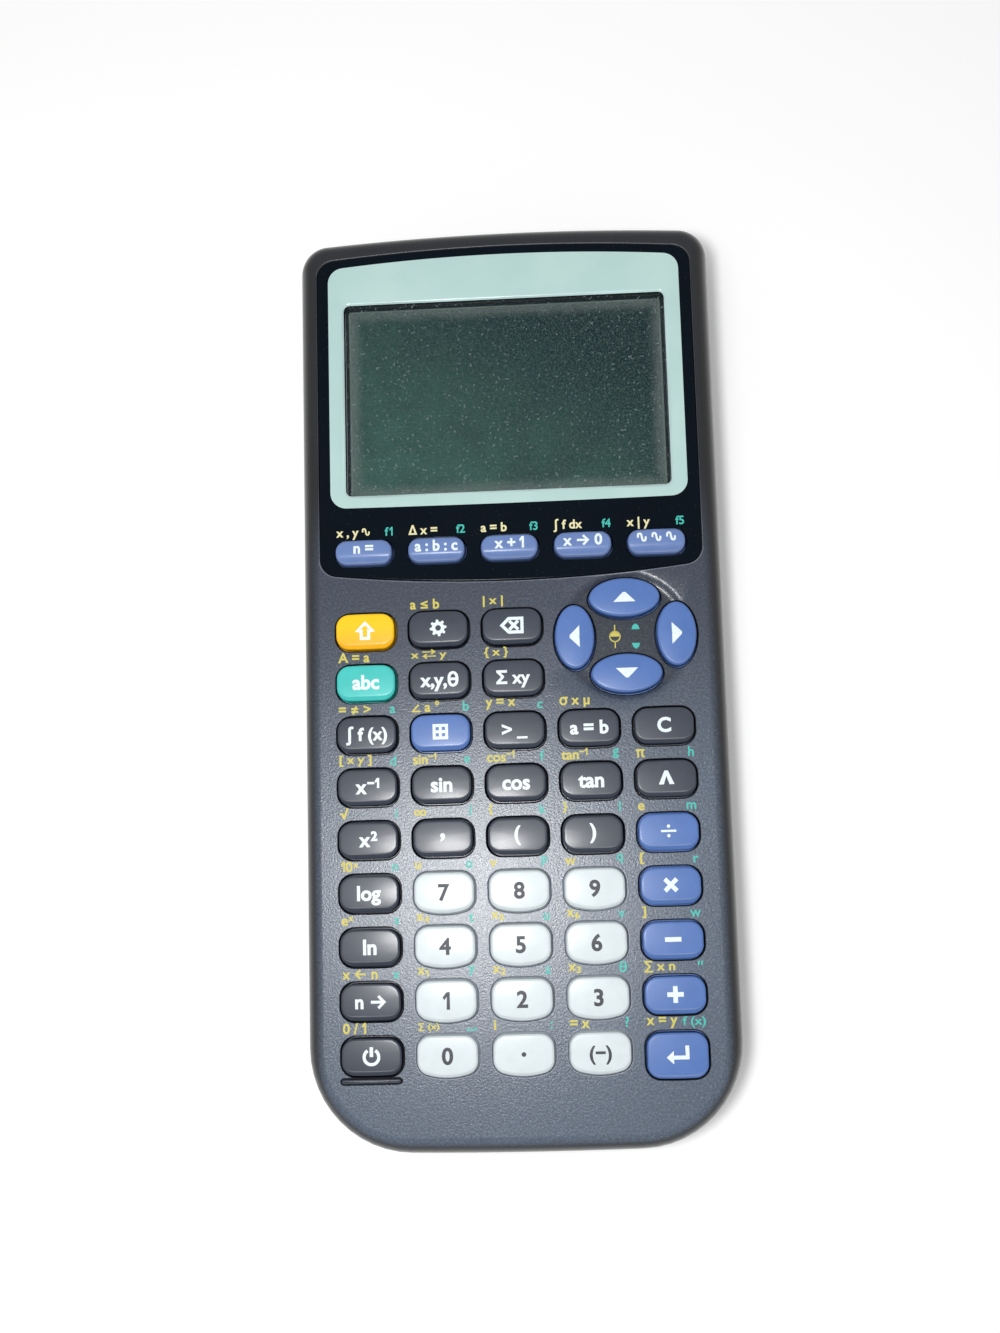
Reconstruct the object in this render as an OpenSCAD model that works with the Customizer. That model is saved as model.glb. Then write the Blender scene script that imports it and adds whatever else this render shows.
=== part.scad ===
// Graphing calculator with a fifty-key keypad, lying on its back.
// Origin: centre of the footprint, on the surface it lies on.
// +X is the right-hand side, +Y points to the display end, +Z is up through the keys.

/* [Keypad] */
// Distance between key columns, which sets the width of the body
column_pitch = 14.36; // [12:0.01:18]
// Bare strip between keys that stand side by side
column_gap = 3; // [2.6:0.1:4]
// Distance between key rows below the display panel
row_pitch = 10.16; // [8.4:0.01:13]
// Bare strip between keys one above the other
row_gap = 3.26; // [2.8:0.02:4]
// Corner radius of a key
key_r = 2.5; // [1:0.1:2.6]
// How far a key sinks when it is pressed
travel = 1.1; // [0.6:0.1:1.6]
// Height of the key tops above the face
key_rise = 1.5; // [1.2:0.1:3]
// How much further the function keys stand out
function_extra_rise = 0.5; // [0:0.1:1.5]
// Height of a function key along the body
function_h = 4.8; // [4:0.1:6]
// How much taller a number key is than the other keys
number_extra_h = 0.8; // [0:0.1:1.2]
// How much taller the enter key is than the other keys
enter_extra_h = 1.45; // [0:0.05:1.6]
// Width of an arrow key, from the rim of the pad towards its middle
arrow_w = 7.55; // [6:0.05:8.5]
// Gap round a key in its hole
key_gap = 0.35; // [0.3:0.05:0.5]

/* [Display] */
// Height of the clear window along the body
window_h = 39.6; // [32:0.1:50]
// Panel above the window
panel_head = 11; // [9:0.1:15]
// Panel below the window, which carries the function keys
panel_foot = 18.1; // [16:0.1:24]
// Thickness of the clear display lens
lens_t = 1.4; // [1:0.1:1.8]

/* [Case] */
// Bare strip from the outer keys to the side of the body
side_margin = 7.1; // [6.6:0.1:12]
// Case above the display panel
top_margin = 4.35; // [4:0.05:8]
// From the middle of the last key row to the end of the body
bottom_margin = 18.75; // [17:0.05:26]
// Corner radius at the display end
top_r = 6; // [5.5:0.5:12]
// Corner radius at the other end
bottom_r = 20; // [12:0.5:26]
// Thickness of the side walls
wall = 2.2; // [1.6:0.1:2.6]
// Thickness of the front wall round the keys
face_wall = 2.3; // [2:0.1:3]
// Thickness of the back wall and of the battery door
back_wall = 2; // [1.6:0.1:2.6]
// Height of the parting line, which is also the axis of the link jack
parting_z = 9.5; // [8.5:0.1:10.5]
// Height of the feet
foot_h = 0.8; // [0.5:0.1:1.5]

/* [Electronics] */
// Diameter of a battery cell
cell_d = 10.5; // [8.5:0.1:12.8]
// Length of a battery cell with its button
cell_l = 44.5; // [36:0.5:54]
// Thickness of the circuit board
board_t = 1.4; // [1:0.1:1.8]
// Radius of the link jack's bore
jack_r = 1.27; // [1.05:0.01:1.6]
// Depth of the link jack's bore
jack_depth = 12; // [9:0.5:14]

/* [Hidden] */
$fn = 32;
deep = 60;  // longer than anything that a cut goes through

// Heights, from the surface up
floor_z = foot_h + back_wall;
cell_lift = 0.3;
roof_t = 0.8;
cell_z = floor_z + cell_lift + cell_d / 2;
roof_z = cell_z + cell_d / 2 + 0.2;
board_z = roof_z + roof_t;
board_top = board_z + board_t;
sheet_t = 0.5;
sheet_top = board_top + sheet_t;
stem_z = sheet_top + travel + 0.1;
flange_t = 0.8;
ceiling_z = stem_z + flange_t + 0.2;
face_z = ceiling_z + face_wall;
lens_z = face_z - lens_t;
dome_gap = 0.05;

// Layout across the body
key_w = column_pitch - column_gap;
body_w = 4 * column_pitch + key_w + 2 * side_margin;
key_h = row_pitch - row_gap;
number_h = key_h + number_extra_h;
enter_h = key_h + enter_extra_h;
function_w = key_w - 0.3;

// Layout along the body
rows_below = 8;
first_row_drop = 9.43;  // from the end of the panel to the first row of keys
panel_l = panel_head + window_h + panel_foot;
body_l = top_margin + panel_l + first_row_drop + rows_below * row_pitch + bottom_margin;
top_y = body_l / 2;
panel_top = top_y - top_margin;
panel_bottom = panel_top - panel_l;
window_top = panel_top - panel_head;
window_bottom = window_top - window_h;
function_y = panel_bottom + 6.3;
first_row_y = panel_bottom - first_row_drop;
enter_y_drop = 0.9;

function column_x(c) = (c - 2) * column_pitch;
function row_y(r) = first_row_y - r * row_pitch;

// Arrow pad, between the panel, the third column, the side and the third row
pad_left = column_x(2) + key_w / 2 + 2.7;
pad_right = column_x(4) + key_w / 2 + 1.3;
pad_top = panel_bottom - 0.7;
pad_bottom = row_y(2) + key_h / 2 + 3.2;
pad_x = (pad_left + pad_right) / 2;
pad_y = (pad_top + pad_bottom) / 2;
pad_w = pad_right - pad_left;
pad_h = pad_top - pad_bottom;
arrow_dx = (pad_w - arrow_w) / 2;
arrow_dy = (pad_h - arrow_w) / 2;
arrow_l_x = pad_w * 0.5;
arrow_l_y = pad_h * 0.555;
dish_r = (pad_w + pad_h) / 4 + 0.5;
dish_depth = 0.6;

// Shell
shoulder_w = 4.4;
shoulder_h = 5.5;
back_edge_w = 5;
back_edge_h = 5.5;
edge_steps = 6;
top_sag = 1.6;
bottom_sag = 0.8;
cavity_inset = wall + 2.4;
cavity_step = 1.2;
panel_inset = 3.9;
panel_top_sag = 1.8;
panel_bottom_sag = 2.4;
panel_r = 3.5;
panel_gap = 0.1;
window_inset = 5.3;
window_x = body_w / 2 - panel_inset - window_inset;

// Battery bay and door
cell_pitch = cell_d + 0.5;
plate_t = 0.4;
spring_l = 5.7;
bay_wall = 1.2;
bay_l = cell_l + 2 * plate_t + spring_l;
bay_w = 4 * cell_pitch + 0.5;
bay_y1 = top_y - 13.75;
bay_y0 = bay_y1 - bay_l;
door_gap = 0.25;
door_lap = 4;
door_w = bay_w + 2 * door_lap;
door_y0 = bay_y0 - 1.8;
door_y1 = bay_y1 + 2;
door_t = back_wall - 0.2;
tab_w = 2.4;
tab_t = 1;
tab_reach = 1.5;
tongue_w = 11;
tongue_l = 8;
slit_w = 0.6;
grip_ribs = 3;

// Screws: one boss in each half for each screw
boss_r = 2.75;
screw_r = 1;
screw_gap = 0.02;
screw_head_r = 1.9;
screw_head_h = 1.4;
screw_seat_z = foot_h + 2.8;
screw_tip_z = ceiling_z - 4;
boss_at = [
    for (s = [-1, 1]) [s * (body_w / 2 - 8.5), top_y - 7.75],
    for (s = [-1, 1]) [s * (body_w / 2 - 8.5), panel_bottom - 1.1],
    for (s = [-1, 1]) [s * (body_w / 2 - 12.5), 8.75 - top_y]
];
post_at = [for (s = [-1, 1], r = [2, 6]) [s * column_pitch * 1.5, row_y(r)]];
post_r = 1.75;
foot_at = [for (s = [-1, 1], y = [top_y - 14, 15 - top_y]) [s * (body_w / 2 - 9.5), y]];
foot_r = 2.8;

// Link jack, in the middle of the end wall
nose_r = 3;
nose_gap = 0.15;
jack_w = 8;
jack_mouth = 0.2 - top_y;

// Keys: name, column, row; in the whole list their places are in millimetres, with a kind
function_names = [for (i = [1:5]) str("key_function_", i)];
plain_keys = [
    ["key_second", 0, 0], ["key_mode", 1, 0], ["key_delete", 2, 0],
    ["key_alpha", 0, 1], ["key_variable", 1, 1], ["key_statistics", 2, 1],
    ["key_math", 0, 2], ["key_apps", 1, 2], ["key_program", 2, 2], ["key_vars", 3, 2], ["key_clear", 4, 2],
    ["key_reciprocal", 0, 3], ["key_sin", 1, 3], ["key_cos", 2, 3], ["key_tan", 3, 3], ["key_power", 4, 3],
    ["key_square", 0, 4], ["key_comma", 1, 4], ["key_paren_open", 2, 4], ["key_paren_close", 3, 4],
    ["key_divide", 4, 4], ["key_log", 0, 5], ["key_multiply", 4, 5], ["key_ln", 0, 6], ["key_minus", 4, 6],
    ["key_store", 0, 7], ["key_plus", 4, 7], ["key_on", 0, 8]
];
number_keys = [
    ["key_7", 1, 5], ["key_8", 2, 5], ["key_9", 3, 5], ["key_4", 1, 6], ["key_5", 2, 6], ["key_6", 3, 6],
    ["key_1", 1, 7], ["key_2", 2, 7], ["key_3", 3, 7], ["key_0", 1, 8], ["key_point", 2, 8], ["key_negative", 3, 8]
];
keys = [
    for (c = [0:4]) [function_names[c], column_x(c), function_y, "function"],
    for (k = plain_keys) [k[0], column_x(k[1]), row_y(k[2]), "plain"],
    for (k = number_keys) [k[0], column_x(k[1]), row_y(k[2]) - number_extra_h / 4, "number"],
    ["key_enter", column_x(4), row_y(8) - enter_y_drop, "enter"],
    ["key_arrow_up", pad_x, pad_y + arrow_dy, "arrow_x"],
    ["key_arrow_down", pad_x, pad_y - arrow_dy, "arrow_x"],
    ["key_arrow_left", pad_x - arrow_dx, pad_y, "arrow_y"],
    ["key_arrow_right", pad_x + arrow_dx, pad_y, "arrow_y"]
];

// Points of an arc, both ends included
function arc(x, y, r, from, to, n) =
    [for (i = [0:n]) let (a = from + (to - from) * i / n) [x + r * cos(a), y + r * sin(a)]];

// The same without its ends
function open_arc(x, y, r, from, to, n) =
    [for (i = [1:n - 1]) let (a = from + (to - from) * i / n) [x + r * cos(a), y + r * sin(a)]];

// Radius of an edge that bows out by sag over the half width hw
function bow(hw, sag) = (hw * hw + sag * sag) / (2 * sag);

// Plate with bowed ends and rounded corners, drawn d inside its own outline
function plate(w, top, bottom, sags, radii, d = 0, n = 4, m = 6) =
    let (
        big_t = bow(w / 2, sags[0]), big_b = bow(w / 2, sags[1]),
        xt = w / 2 - radii[0], xb = w / 2 - radii[1],
        ct = top - big_t, cb = bottom + big_b,
        yt = ct + sqrt(pow(big_t - radii[0], 2) - xt * xt),
        yb = cb - sqrt(pow(big_b - radii[1], 2) - xb * xb),
        at = atan2(yt - ct, xt), ab = atan2(cb - yb, xb)
    )
    concat(
        arc(xt, yt, radii[0] - d, 0, at, n),
        open_arc(0, ct, big_t - d, at, 180 - at, m),
        arc(-xt, yt, radii[0] - d, 180 - at, 180, n),
        arc(-xb, yb, radii[1] - d, 180, 180 + ab, n),
        open_arc(0, cb, big_b - d, 180 + ab, 360 - ab, m),
        arc(xb, yb, radii[1] - d, 360 - ab, 360, n)
    );

// Oval drawn d inside its own outline
function oval(w, h, d, n = 32) =
    [for (i = [0:n - 1]) [(w / 2 - d) * cos(360 * i / n), (h / 2 - d) * sin(360 * i / n)]];

function body_outline(d) =
    plate(body_w, top_y, -top_y, [top_sag, bottom_sag], [top_r, bottom_r], d, 7, 10);

function panel_outline(d) =
    plate(body_w - 2 * panel_inset, panel_top, panel_bottom,
          [panel_top_sag, panel_bottom_sag], [panel_r, panel_r], d, 5, 12);

// Outline of a key of one kind about its own middle, drawn d inside
function key_outline(kind, d) =
    kind == "function" ? plate(function_w, function_h / 2, -function_h / 2, [0.1, 0.1],
                               [min(key_r, function_h / 2 - 0.3), min(key_r, function_h / 2 - 0.3)], d, 4, 2)
    : kind == "plain" ? plate(key_w, key_h / 2, -key_h / 2, [0.12, 0.12],
                              [min(key_r, key_h / 2 - 0.3), min(key_r, key_h / 2 - 0.3)], d, 4, 2)
    : kind == "number" ? plate(key_w, number_h / 2, -number_h / 2, [0.12, 1.25],
                               [min(key_r, number_h / 3), min(key_r, number_h / 3)], d, 4, 6)
    : kind == "enter" ? plate(key_w, enter_h / 2, -enter_h / 2, [0.12, 0.2],
                              [min(key_r, enter_h / 3), min(key_r, enter_h / 3)], d, 4, 2)
    : kind == "arrow_x" ? oval(arrow_l_x, arrow_w, d)
    : oval(arrow_w, arrow_l_y, d);

function key_top(kind) = face_z + key_rise + (kind == "function" ? function_extra_rise : 0);

// Solid through body outlines, each level a height and how far its outline is drawn in
module shell(levels) {
    n = len(body_outline(0));
    last = len(levels) - 1;
    polyhedron(
        [for (l = levels, p = body_outline(l[1])) [p[0], p[1], l[0]]],
        concat(
            [[for (i = [0:n - 1]) i]],
            [for (k = [0:last - 1], i = [0:n - 1]) let (j = (i + 1) % n)
                [k * n + i, (k + 1) * n + i, (k + 1) * n + j, k * n + j]],
            [[for (i = [n - 1:-1:0]) last * n + i]]
        )
    );
}

// Prism of an outline between two heights
module prism(points, low, high) {
    translate([0, 0, low]) linear_extrude(high - low) polygon(points);
}

module at_bosses() {
    for (p = boss_at) translate([p[0], p[1], 0]) children();
}

// Cut for the nose of the link jack, half in each half of the case
module jack_hole() {
    translate([0, -top_y - 1, parting_z]) rotate([-90, 0, 0]) cylinder(h = wall + 4, r = nose_r + nose_gap);
}

module front_shell() {
    shell(concat([[parting_z, 0]], [for (i = [0:edge_steps]) let (a = 90 * i / edge_steps)
        [face_z - shoulder_h * (1 - sin(a)), shoulder_w * (1 - cos(a))]]));
}

module back_shell() {
    shell(concat([for (i = [0:edge_steps]) let (a = 90 * i / edge_steps)
        [foot_h + back_edge_h * (1 - cos(a)), back_edge_w * (1 - sin(a))]], [[parting_z, 0]]));
}

// Short bar moulded on the face below the first key of the last row
module on_key_bar() {
    bar_w = key_w - 0.15;
    bar_h = 1.5;
    bar_rise = 0.55;
    translate([column_x(0) - 0.25, row_y(rows_below) - key_h / 2 - 1.1, face_z - 0.3])
        linear_extrude(bar_rise + 0.3)
            polygon(plate(bar_w, bar_h / 2, -bar_h / 2, [0.02, 0.02], [0.7, 0.7], 0, 4, 2));
}

module front_case() color("#4b4f5c") difference() {
    union() {
        difference() {
            front_shell();
            prism(body_outline(wall), parting_z - 1, ceiling_z - cavity_step);
            prism(body_outline(cavity_inset), ceiling_z - 2 * cavity_step, ceiling_z);
            prism(panel_outline(-panel_gap), lens_z, face_z + 1);
            translate([pad_x, pad_y, face_z - dish_depth])
                cylinder(h = 2 * dish_depth, r1 = dish_r - 1.5, r2 = dish_r + 1.5, $fn = 64);
            for (k = keys) translate([k[1], k[2], 0])
                prism(key_outline(k[3], -key_gap), ceiling_z - 1, face_z + 1);
            translate([-window_x, window_bottom, ceiling_z - 1]) cube([2 * window_x, window_h, deep]);
        }
        at_bosses() translate([0, 0, parting_z]) cylinder(h = ceiling_z + 0.4 - parting_z, r = boss_r);
        on_key_bar();
    }
    at_bosses() translate([0, 0, parting_z - 1])
        cylinder(h = screw_tip_z + 1.5 - parting_z, r = screw_r + screw_gap);
    jack_hole();
}

// Cuts in the back case that let the door's tabs swing
module tab_cuts() {
    for (s = [-1, 1]) translate([s * cell_pitch - tab_w / 2 - 0.4, door_y0 - tab_reach - 0.4, floor_z - 0.05])
        cube([tab_w + 0.8, tab_reach + 0.4 + bay_y0 + 0.1 - door_y0, 2.6]);
}

module back_case() color("#3b3e49") difference() {
    union() {
        difference() {
            back_shell();
            prism(body_outline(wall), foot_h + back_edge_h, deep);
            prism(body_outline(cavity_inset), floor_z, deep);
        }
        translate([-bay_w / 2 - bay_wall, bay_y0 - bay_wall, floor_z - 0.4])
            cube([bay_w + 2 * bay_wall, bay_l + 2 * bay_wall, board_z - floor_z + 0.4]);
        prism(plate(door_w + 3, door_y1 + 1.5, door_y0 - 1.5, [0.01, 0.01], [3.5, 3.5], 0, 3, 2),
              floor_z - 0.4, floor_z + 1);
        at_bosses() translate([0, 0, foot_h + 1]) cylinder(h = parting_z - foot_h - 1, r = boss_r);
        for (p = post_at) translate([p[0], p[1], floor_z - 0.4]) cylinder(h = board_z - floor_z + 0.4, r = post_r);
        for (p = foot_at) translate([p[0], p[1], 0]) cylinder(h = foot_h + 1, r = foot_r);
    }
    prism(door_outline(-door_gap), -1, floor_z);
    translate([-bay_w / 2, bay_y0, floor_z - 1]) cube([bay_w, bay_l, roof_z - floor_z + 1]);
    tab_cuts();
    at_bosses() {
        translate([0, 0, -1]) cylinder(h = screw_seat_z + 1, r = screw_head_r + 0.3);
        cylinder(h = deep, r = screw_r + 0.2);
    }
    jack_hole();
}

function door_outline(d) = plate(door_w, door_y1, door_y0, [0.01, 0.01], [2.5, 2.5], d, 4, 2);

// Door plate, two tabs at its lower edge, and a sprung tongue with a ribbed thumb pad at the upper one
module battery_door() color("#3e414d") {
    difference() {
        prism(door_outline(0), foot_h, foot_h + door_t);
        for (s = [-1, 1]) translate([s * tongue_w / 2 - slit_w / 2, door_y1 - tongue_l, 0])
            cube([slit_w, tongue_l + 1, deep]);
        for (i = [1:grip_ribs]) translate([-tongue_w / 2 + 1.5, door_y1 - 1.5 * i - 0.4, foot_h - 1])
            cube([tongue_w - 3, 0.8, 1.5]);
    }
    for (s = [-1, 1]) translate([s * cell_pitch - tab_w / 2, 0, 0]) {
        translate([0, door_y0, foot_h + door_t - 0.4]) cube([tab_w, 1, back_wall - door_t + 0.5 + tab_t]);
        translate([0, door_y0 - tab_reach, floor_z + 0.1]) cube([tab_w, tab_reach + 1, tab_t]);
    }
}

// Clear panel, flush with the face, with a slot for each function key
module display_lens() color("#16202a") difference() {
    prism(panel_outline(0), lens_z, face_z);
    for (c = [0:4]) translate([column_x(c), function_y, 0])
        prism(key_outline("function", -key_gap), lens_z - 1, face_z + 1);
}

// Metal bezel on the circuit board round a glass cell
module lcd_module() {
    bezel_w = 3;
    bezel_top = ceiling_z - 0.3;
    glass_top = ceiling_z - 0.7;
    glass_inset = 1.2;
    fit = 0.1;
    gx = window_x - glass_inset + 1.2;
    gy0 = window_bottom - 0.6;
    gh = window_h + 1.2;
    color("#8b9096") difference() {
        translate([-gx - bezel_w, gy0 - bezel_w, board_top])
            cube([2 * (gx + bezel_w), gh + 2 * bezel_w, bezel_top - board_top]);
        translate([-gx, gy0, board_top - 1]) cube([2 * gx, gh, deep]);
    }
    color("#2c403c") translate([-gx + fit, gy0 + fit, board_top])
        cube([2 * (gx - fit), gh - 2 * fit, glass_top - board_top]);
}

module board_holes() {
    for (p = boss_at) translate([p[0], p[1], 0]) cylinder(h = deep, r = boss_r + 0.35);
}

// Bare board with its chips and the link jack soldered under it
module circuit_board() color("#2f6b45") {
    difference() {
        prism(body_outline(wall + 0.5), board_z, board_top);
        board_holes();
    }
    for (c = [[0, row_y(4), 14, 14, 1.6], [-18, row_y(4), 9, 13, 1.2], [17, row_y(1), 8, 6, 1.2]])
        translate([c[0] - c[2] / 2, c[1] - c[3] / 2, board_z - c[4]]) cube([c[2], c[3], c[4]]);
    difference() {
        union() {
            translate([-jack_w / 2, -top_y + wall + 0.6, parting_z - nose_r])
                cube([jack_w, jack_depth + 1, board_z - parting_z + nose_r]);
            translate([0, jack_mouth, parting_z]) rotate([-90, 0, 0]) cylinder(h = wall + 2, r = nose_r);
        }
        translate([0, jack_mouth - 1, parting_z]) rotate([-90, 0, 0]) cylinder(h = jack_depth + 1, r = jack_r);
    }
}

// Rubber sheet on the board with one hollow-backed dome under each key
module keypad_membrane() color("#b9b4a6") {
    dome_r = 2.3;
    sheet_w = body_w - 2 * (cavity_inset + 0.9);
    sheet_top_y = window_bottom - 5.6;
    sheet_bottom_y = row_y(rows_below) - 6.4;
    difference() {
        prism(plate(sheet_w, sheet_top_y, sheet_bottom_y, [0.01, 0.01], [2, 2], 0, 3, 2), board_top, sheet_top);
        board_holes();
    }
    for (k = keys) translate([k[1], k[2], 0]) {
        translate([0, 0, board_top]) cylinder(h = sheet_t + travel / 2, r1 = dome_r, r2 = dome_r - 0.5);
        translate([0, 0, board_top]) cylinder(h = stem_z - dome_gap - board_top, r = dome_r - 0.5);
    }
}

// Four cells side by side, turned alternately, and the round backup cell under the board
module batteries() color("#c8a24a") {
    button_l = 0.8;
    button_r = 1.9;
    for (i = [0:3]) translate([(i - 1.5) * cell_pitch, (bay_y0 + bay_y1) / 2, cell_z])
        rotate([0, 0, i % 2 == 0 ? 0 : 180]) translate([0, (bay_l - 2 * plate_t) / 2, 0]) rotate([90, 0, 0]) {
            cylinder(h = button_l + 1, r = button_r);
            translate([0, 0, button_l]) cylinder(h = cell_l - button_l, r = cell_d / 2, $fn = 48);
        }
    translate([-column_pitch, row_y(1), board_z - 1.6]) cylinder(h = 1.6, r = 8, $fn = 48);
}

// A plate at each end of each cell; the flat end of a cell rests on a tapered spring
module battery_contacts() color("#c9ccd0") {
    plate_w = 7.5;
    for (i = [0:3], s = [-1, 1]) translate([(i - 1.5) * cell_pitch, (bay_y0 + bay_y1) / 2, 0])
        scale([1, s, 1]) translate([0, -bay_l / 2, 0]) {
            translate([-plate_w / 2, 0, cell_z - plate_w / 2]) cube([plate_w, plate_t, plate_w]);
            if ((i % 2 == 0) == (s == 1)) translate([0, plate_t, cell_z]) rotate([-90, 0, 0])
                cylinder(h = spring_l, r1 = plate_w / 2, r2 = 2.4);
        }
}

// Pan-head screws with a cross recess, driven from the back
module case_screws() color("#9aa0a6") {
    at_bosses() difference() {
        union() {
            translate([0, 0, screw_seat_z - screw_head_h]) cylinder(h = screw_head_h, r = screw_head_r);
            translate([0, 0, screw_seat_z]) cylinder(h = screw_tip_z - screw_seat_z, r = screw_r);
        }
        for (a = [0, 90]) translate([0, 0, screw_seat_z - screw_head_h]) rotate([0, 0, a])
            cube([2.2, 0.5, 1.4], center = true);
    }
}

// One key: flange under the face, hollow cap, and a stem that stands on its dome
module keycap(k) {
    kind = k[3];
    top_z = key_top(kind);
    crown = 0.6;
    shell_t = 1.1;
    stem_r = 1.6;
    translate([k[1], k[2], 0]) {
        difference() {
            union() {
                prism(key_outline(kind, -0.6), stem_z, stem_z + flange_t);
                prism(key_outline(kind, 0), stem_z, top_z - crown);
                prism(key_outline(kind, 0.45), stem_z, top_z);
            }
            prism(key_outline(kind, shell_t), stem_z - 1, top_z - 1.5);
        }
        translate([0, 0, stem_z]) cylinder(h = top_z - 1 - stem_z, r = stem_r);
    }
}

// Plain keys that are blue, as the function, arrow and enter keys are
blue_keys = ["key_apps", "key_divide", "key_multiply", "key_minus", "key_plus"];

function is_blue(k) = k[3] != "plain" || len([for (b = blue_keys) if (b == k[0]) b]) > 0;

function key_colour(k) =
    k[0] == "key_second" ? "#fdcf33"
    : k[0] == "key_alpha" ? "#45d2c4"
    : k[3] == "number" ? "#e6f0f2"
    : is_blue(k) ? "#5f86d8"
    : "#5a6270";

front_case();
back_case();
display_lens();
lcd_module();
circuit_board();
keypad_membrane();
battery_door();
batteries();
battery_contacts();
case_screws();
for (k = keys) color(key_colour(k)) keycap(k);
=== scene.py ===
# Graphing calculator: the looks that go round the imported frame.
# +X is the right-hand side, +Y the display end, +Z up through the keys. Sizes here are in millimetres.
import re
import bpy
import numpy as np
from mathutils import Matrix, Vector
from mathutils.geometry import delaunay_2d_cdt


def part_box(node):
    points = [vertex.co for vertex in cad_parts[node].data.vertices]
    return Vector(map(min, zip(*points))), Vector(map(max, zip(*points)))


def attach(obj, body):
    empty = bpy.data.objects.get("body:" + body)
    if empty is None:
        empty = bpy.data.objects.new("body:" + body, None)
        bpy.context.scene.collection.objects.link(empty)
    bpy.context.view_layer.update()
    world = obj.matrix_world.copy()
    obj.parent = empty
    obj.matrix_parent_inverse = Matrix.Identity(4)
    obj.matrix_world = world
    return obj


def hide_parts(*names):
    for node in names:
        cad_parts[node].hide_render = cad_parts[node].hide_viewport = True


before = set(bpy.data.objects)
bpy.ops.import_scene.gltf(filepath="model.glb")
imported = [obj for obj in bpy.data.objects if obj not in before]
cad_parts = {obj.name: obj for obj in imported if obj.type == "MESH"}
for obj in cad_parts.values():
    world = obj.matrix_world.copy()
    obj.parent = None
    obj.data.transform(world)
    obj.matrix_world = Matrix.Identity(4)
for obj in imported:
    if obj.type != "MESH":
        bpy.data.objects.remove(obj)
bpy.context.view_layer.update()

mm = 0.001
body = "calculator_body"
pi = np.pi


# materials: sockets that can be added and multiplied

class Flow:
    # one output of a node; arithmetic on it adds Math nodes
    def __init__(self, finish, socket):
        self.finish = finish
        self.socket = socket

    def math(self, operation, other=0.0, swap=False):
        first, second = (other, self) if swap else (self, other)
        return self.finish.node("ShaderNodeMath", {"operation": operation}, {0: first, 1: second})


def overload(sign, operation):
    # the operator and its reflected form
    setattr(Flow, "__" + sign + "__", lambda self, other: self.math(operation, other))
    setattr(Flow, "__r" + sign + "__", lambda self, other: self.math(operation, other, True))


for sign, operation in (("add", "ADD"), ("sub", "SUBTRACT"), ("mul", "MULTIPLY"), ("truediv", "DIVIDE"),
                        ("pow", "POWER")):
    overload(sign, operation)


def shade(red, green, blue):
    # a colour written in 0 to 255 screen values, as linear light
    c = np.array([red, green, blue]) / 255
    lin = np.where(c <= 0.04045, c / 12.92, ((c + 0.055) / 1.055) ** 2.4)
    return (float(lin[0]), float(lin[1]), float(lin[2]), 1.0)


class Finish:
    # a material with one Principled shader; constants go straight on its sockets
    def __init__(self, name, **constants):
        self.material = bpy.data.materials.new(name)
        self.material.use_nodes = True
        self.tree = self.material.node_tree
        self.shader = self.tree.nodes["Principled BSDF"]
        for socket, value in constants.items():
            self.shader.inputs[socket.replace("_", " ")].default_value = value

    def node(self, kind, settings=None, inputs=None, out=0):
        made = self.tree.nodes.new(kind)
        for key, value in (settings or {}).items():
            if key == "stops":
                for i, (place, colour) in enumerate(value):
                    stop = made.color_ramp.elements[i] if i < 2 else made.color_ramp.elements.new(place)
                    stop.position = place
                    stop.color = colour
            else:
                setattr(made, key, value)
        for key, value in (inputs or {}).items():
            self.put(made.inputs[key], value)
        return Flow(self, made.outputs[out])

    def put(self, socket, value):
        if isinstance(value, Flow):
            self.tree.links.new(value.socket, socket)
        else:
            socket.default_value = value

    def set(self, name, value):
        self.put(self.shader.inputs[name], value)

    def place(self):
        return self.node("ShaderNodeTexCoord", out=3)

    def axis(self, which):
        # one coordinate of the place, in millimetres
        return self.node("ShaderNodeSeparateXYZ", None, {0: self.place()}, out="XYZ".index(which)) * 1000

    def noise(self, size, detail=2.0, rough=0.5, stretch=(1, 1, 1)):
        # mottling whose blots are about size millimetres across
        spot = self.node("ShaderNodeMapping", None, {"Vector": self.place(), "Scale": stretch})
        look = {"Vector": spot, "Scale": 1000 / size, "Detail": detail, "Roughness": rough}
        return self.node("ShaderNodeTexNoise", None, look)

    def band(self, value, low, high):
        # 0 below low, 1 above high, smooth between
        return self.node("ShaderNodeMapRange", {"interpolation_type": "SMOOTHSTEP"},
                         {0: value, 1: low, 2: high, 3: 0.0, 4: 1.0})

    def mix(self, factor, first, second):
        return self.node("ShaderNodeMix", {"data_type": "RGBA"}, {0: factor, 6: first, 7: second}, out=2)

    def times(self, colour, share):
        # a colour made lighter or darker
        if not isinstance(colour, Flow):
            return scaled(colour, share)
        return self.node("ShaderNodeVectorMath", {"operation": "SCALE"}, {0: colour, 3: share})

    def vary(self, value, colour, darker, lighter):
        # a colour that goes from its darker to its lighter share as the noise value rises
        return self.mix(self.band(value, 0.3, 0.7), self.times(colour, darker), self.times(colour, lighter))

    def done(self, colour, rough, height, depth, strength):
        # the last links: colour, roughness and a bump whose depth is in millimetres
        self.set("Base Color", colour)
        self.set("Roughness", rough)
        self.set("Normal", self.node("ShaderNodeBump", None, {"Height": height, "Distance": depth * mm,
                                                              "Strength": strength}))
        return self.material


def scaled(colour, share):
    return tuple(c * share for c in colour[:3]) + (1.0,)


# where the tone of the front case changes: along -Y, along +Y, and on the shoulders, out from the middle and
# down from the face, where the darkening is painted shade; far down the sides it goes to the sides' own tone
caseTone = {
    "userEnd": (-22, 30), "display": (19, 40), "displayShare": 0.2, "out": (37.2, 40.2),
    "shoulderShadeDrop": (1.1, 0.02), "lowDrop": (9, 4), "lowShare": 0.36}


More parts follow.
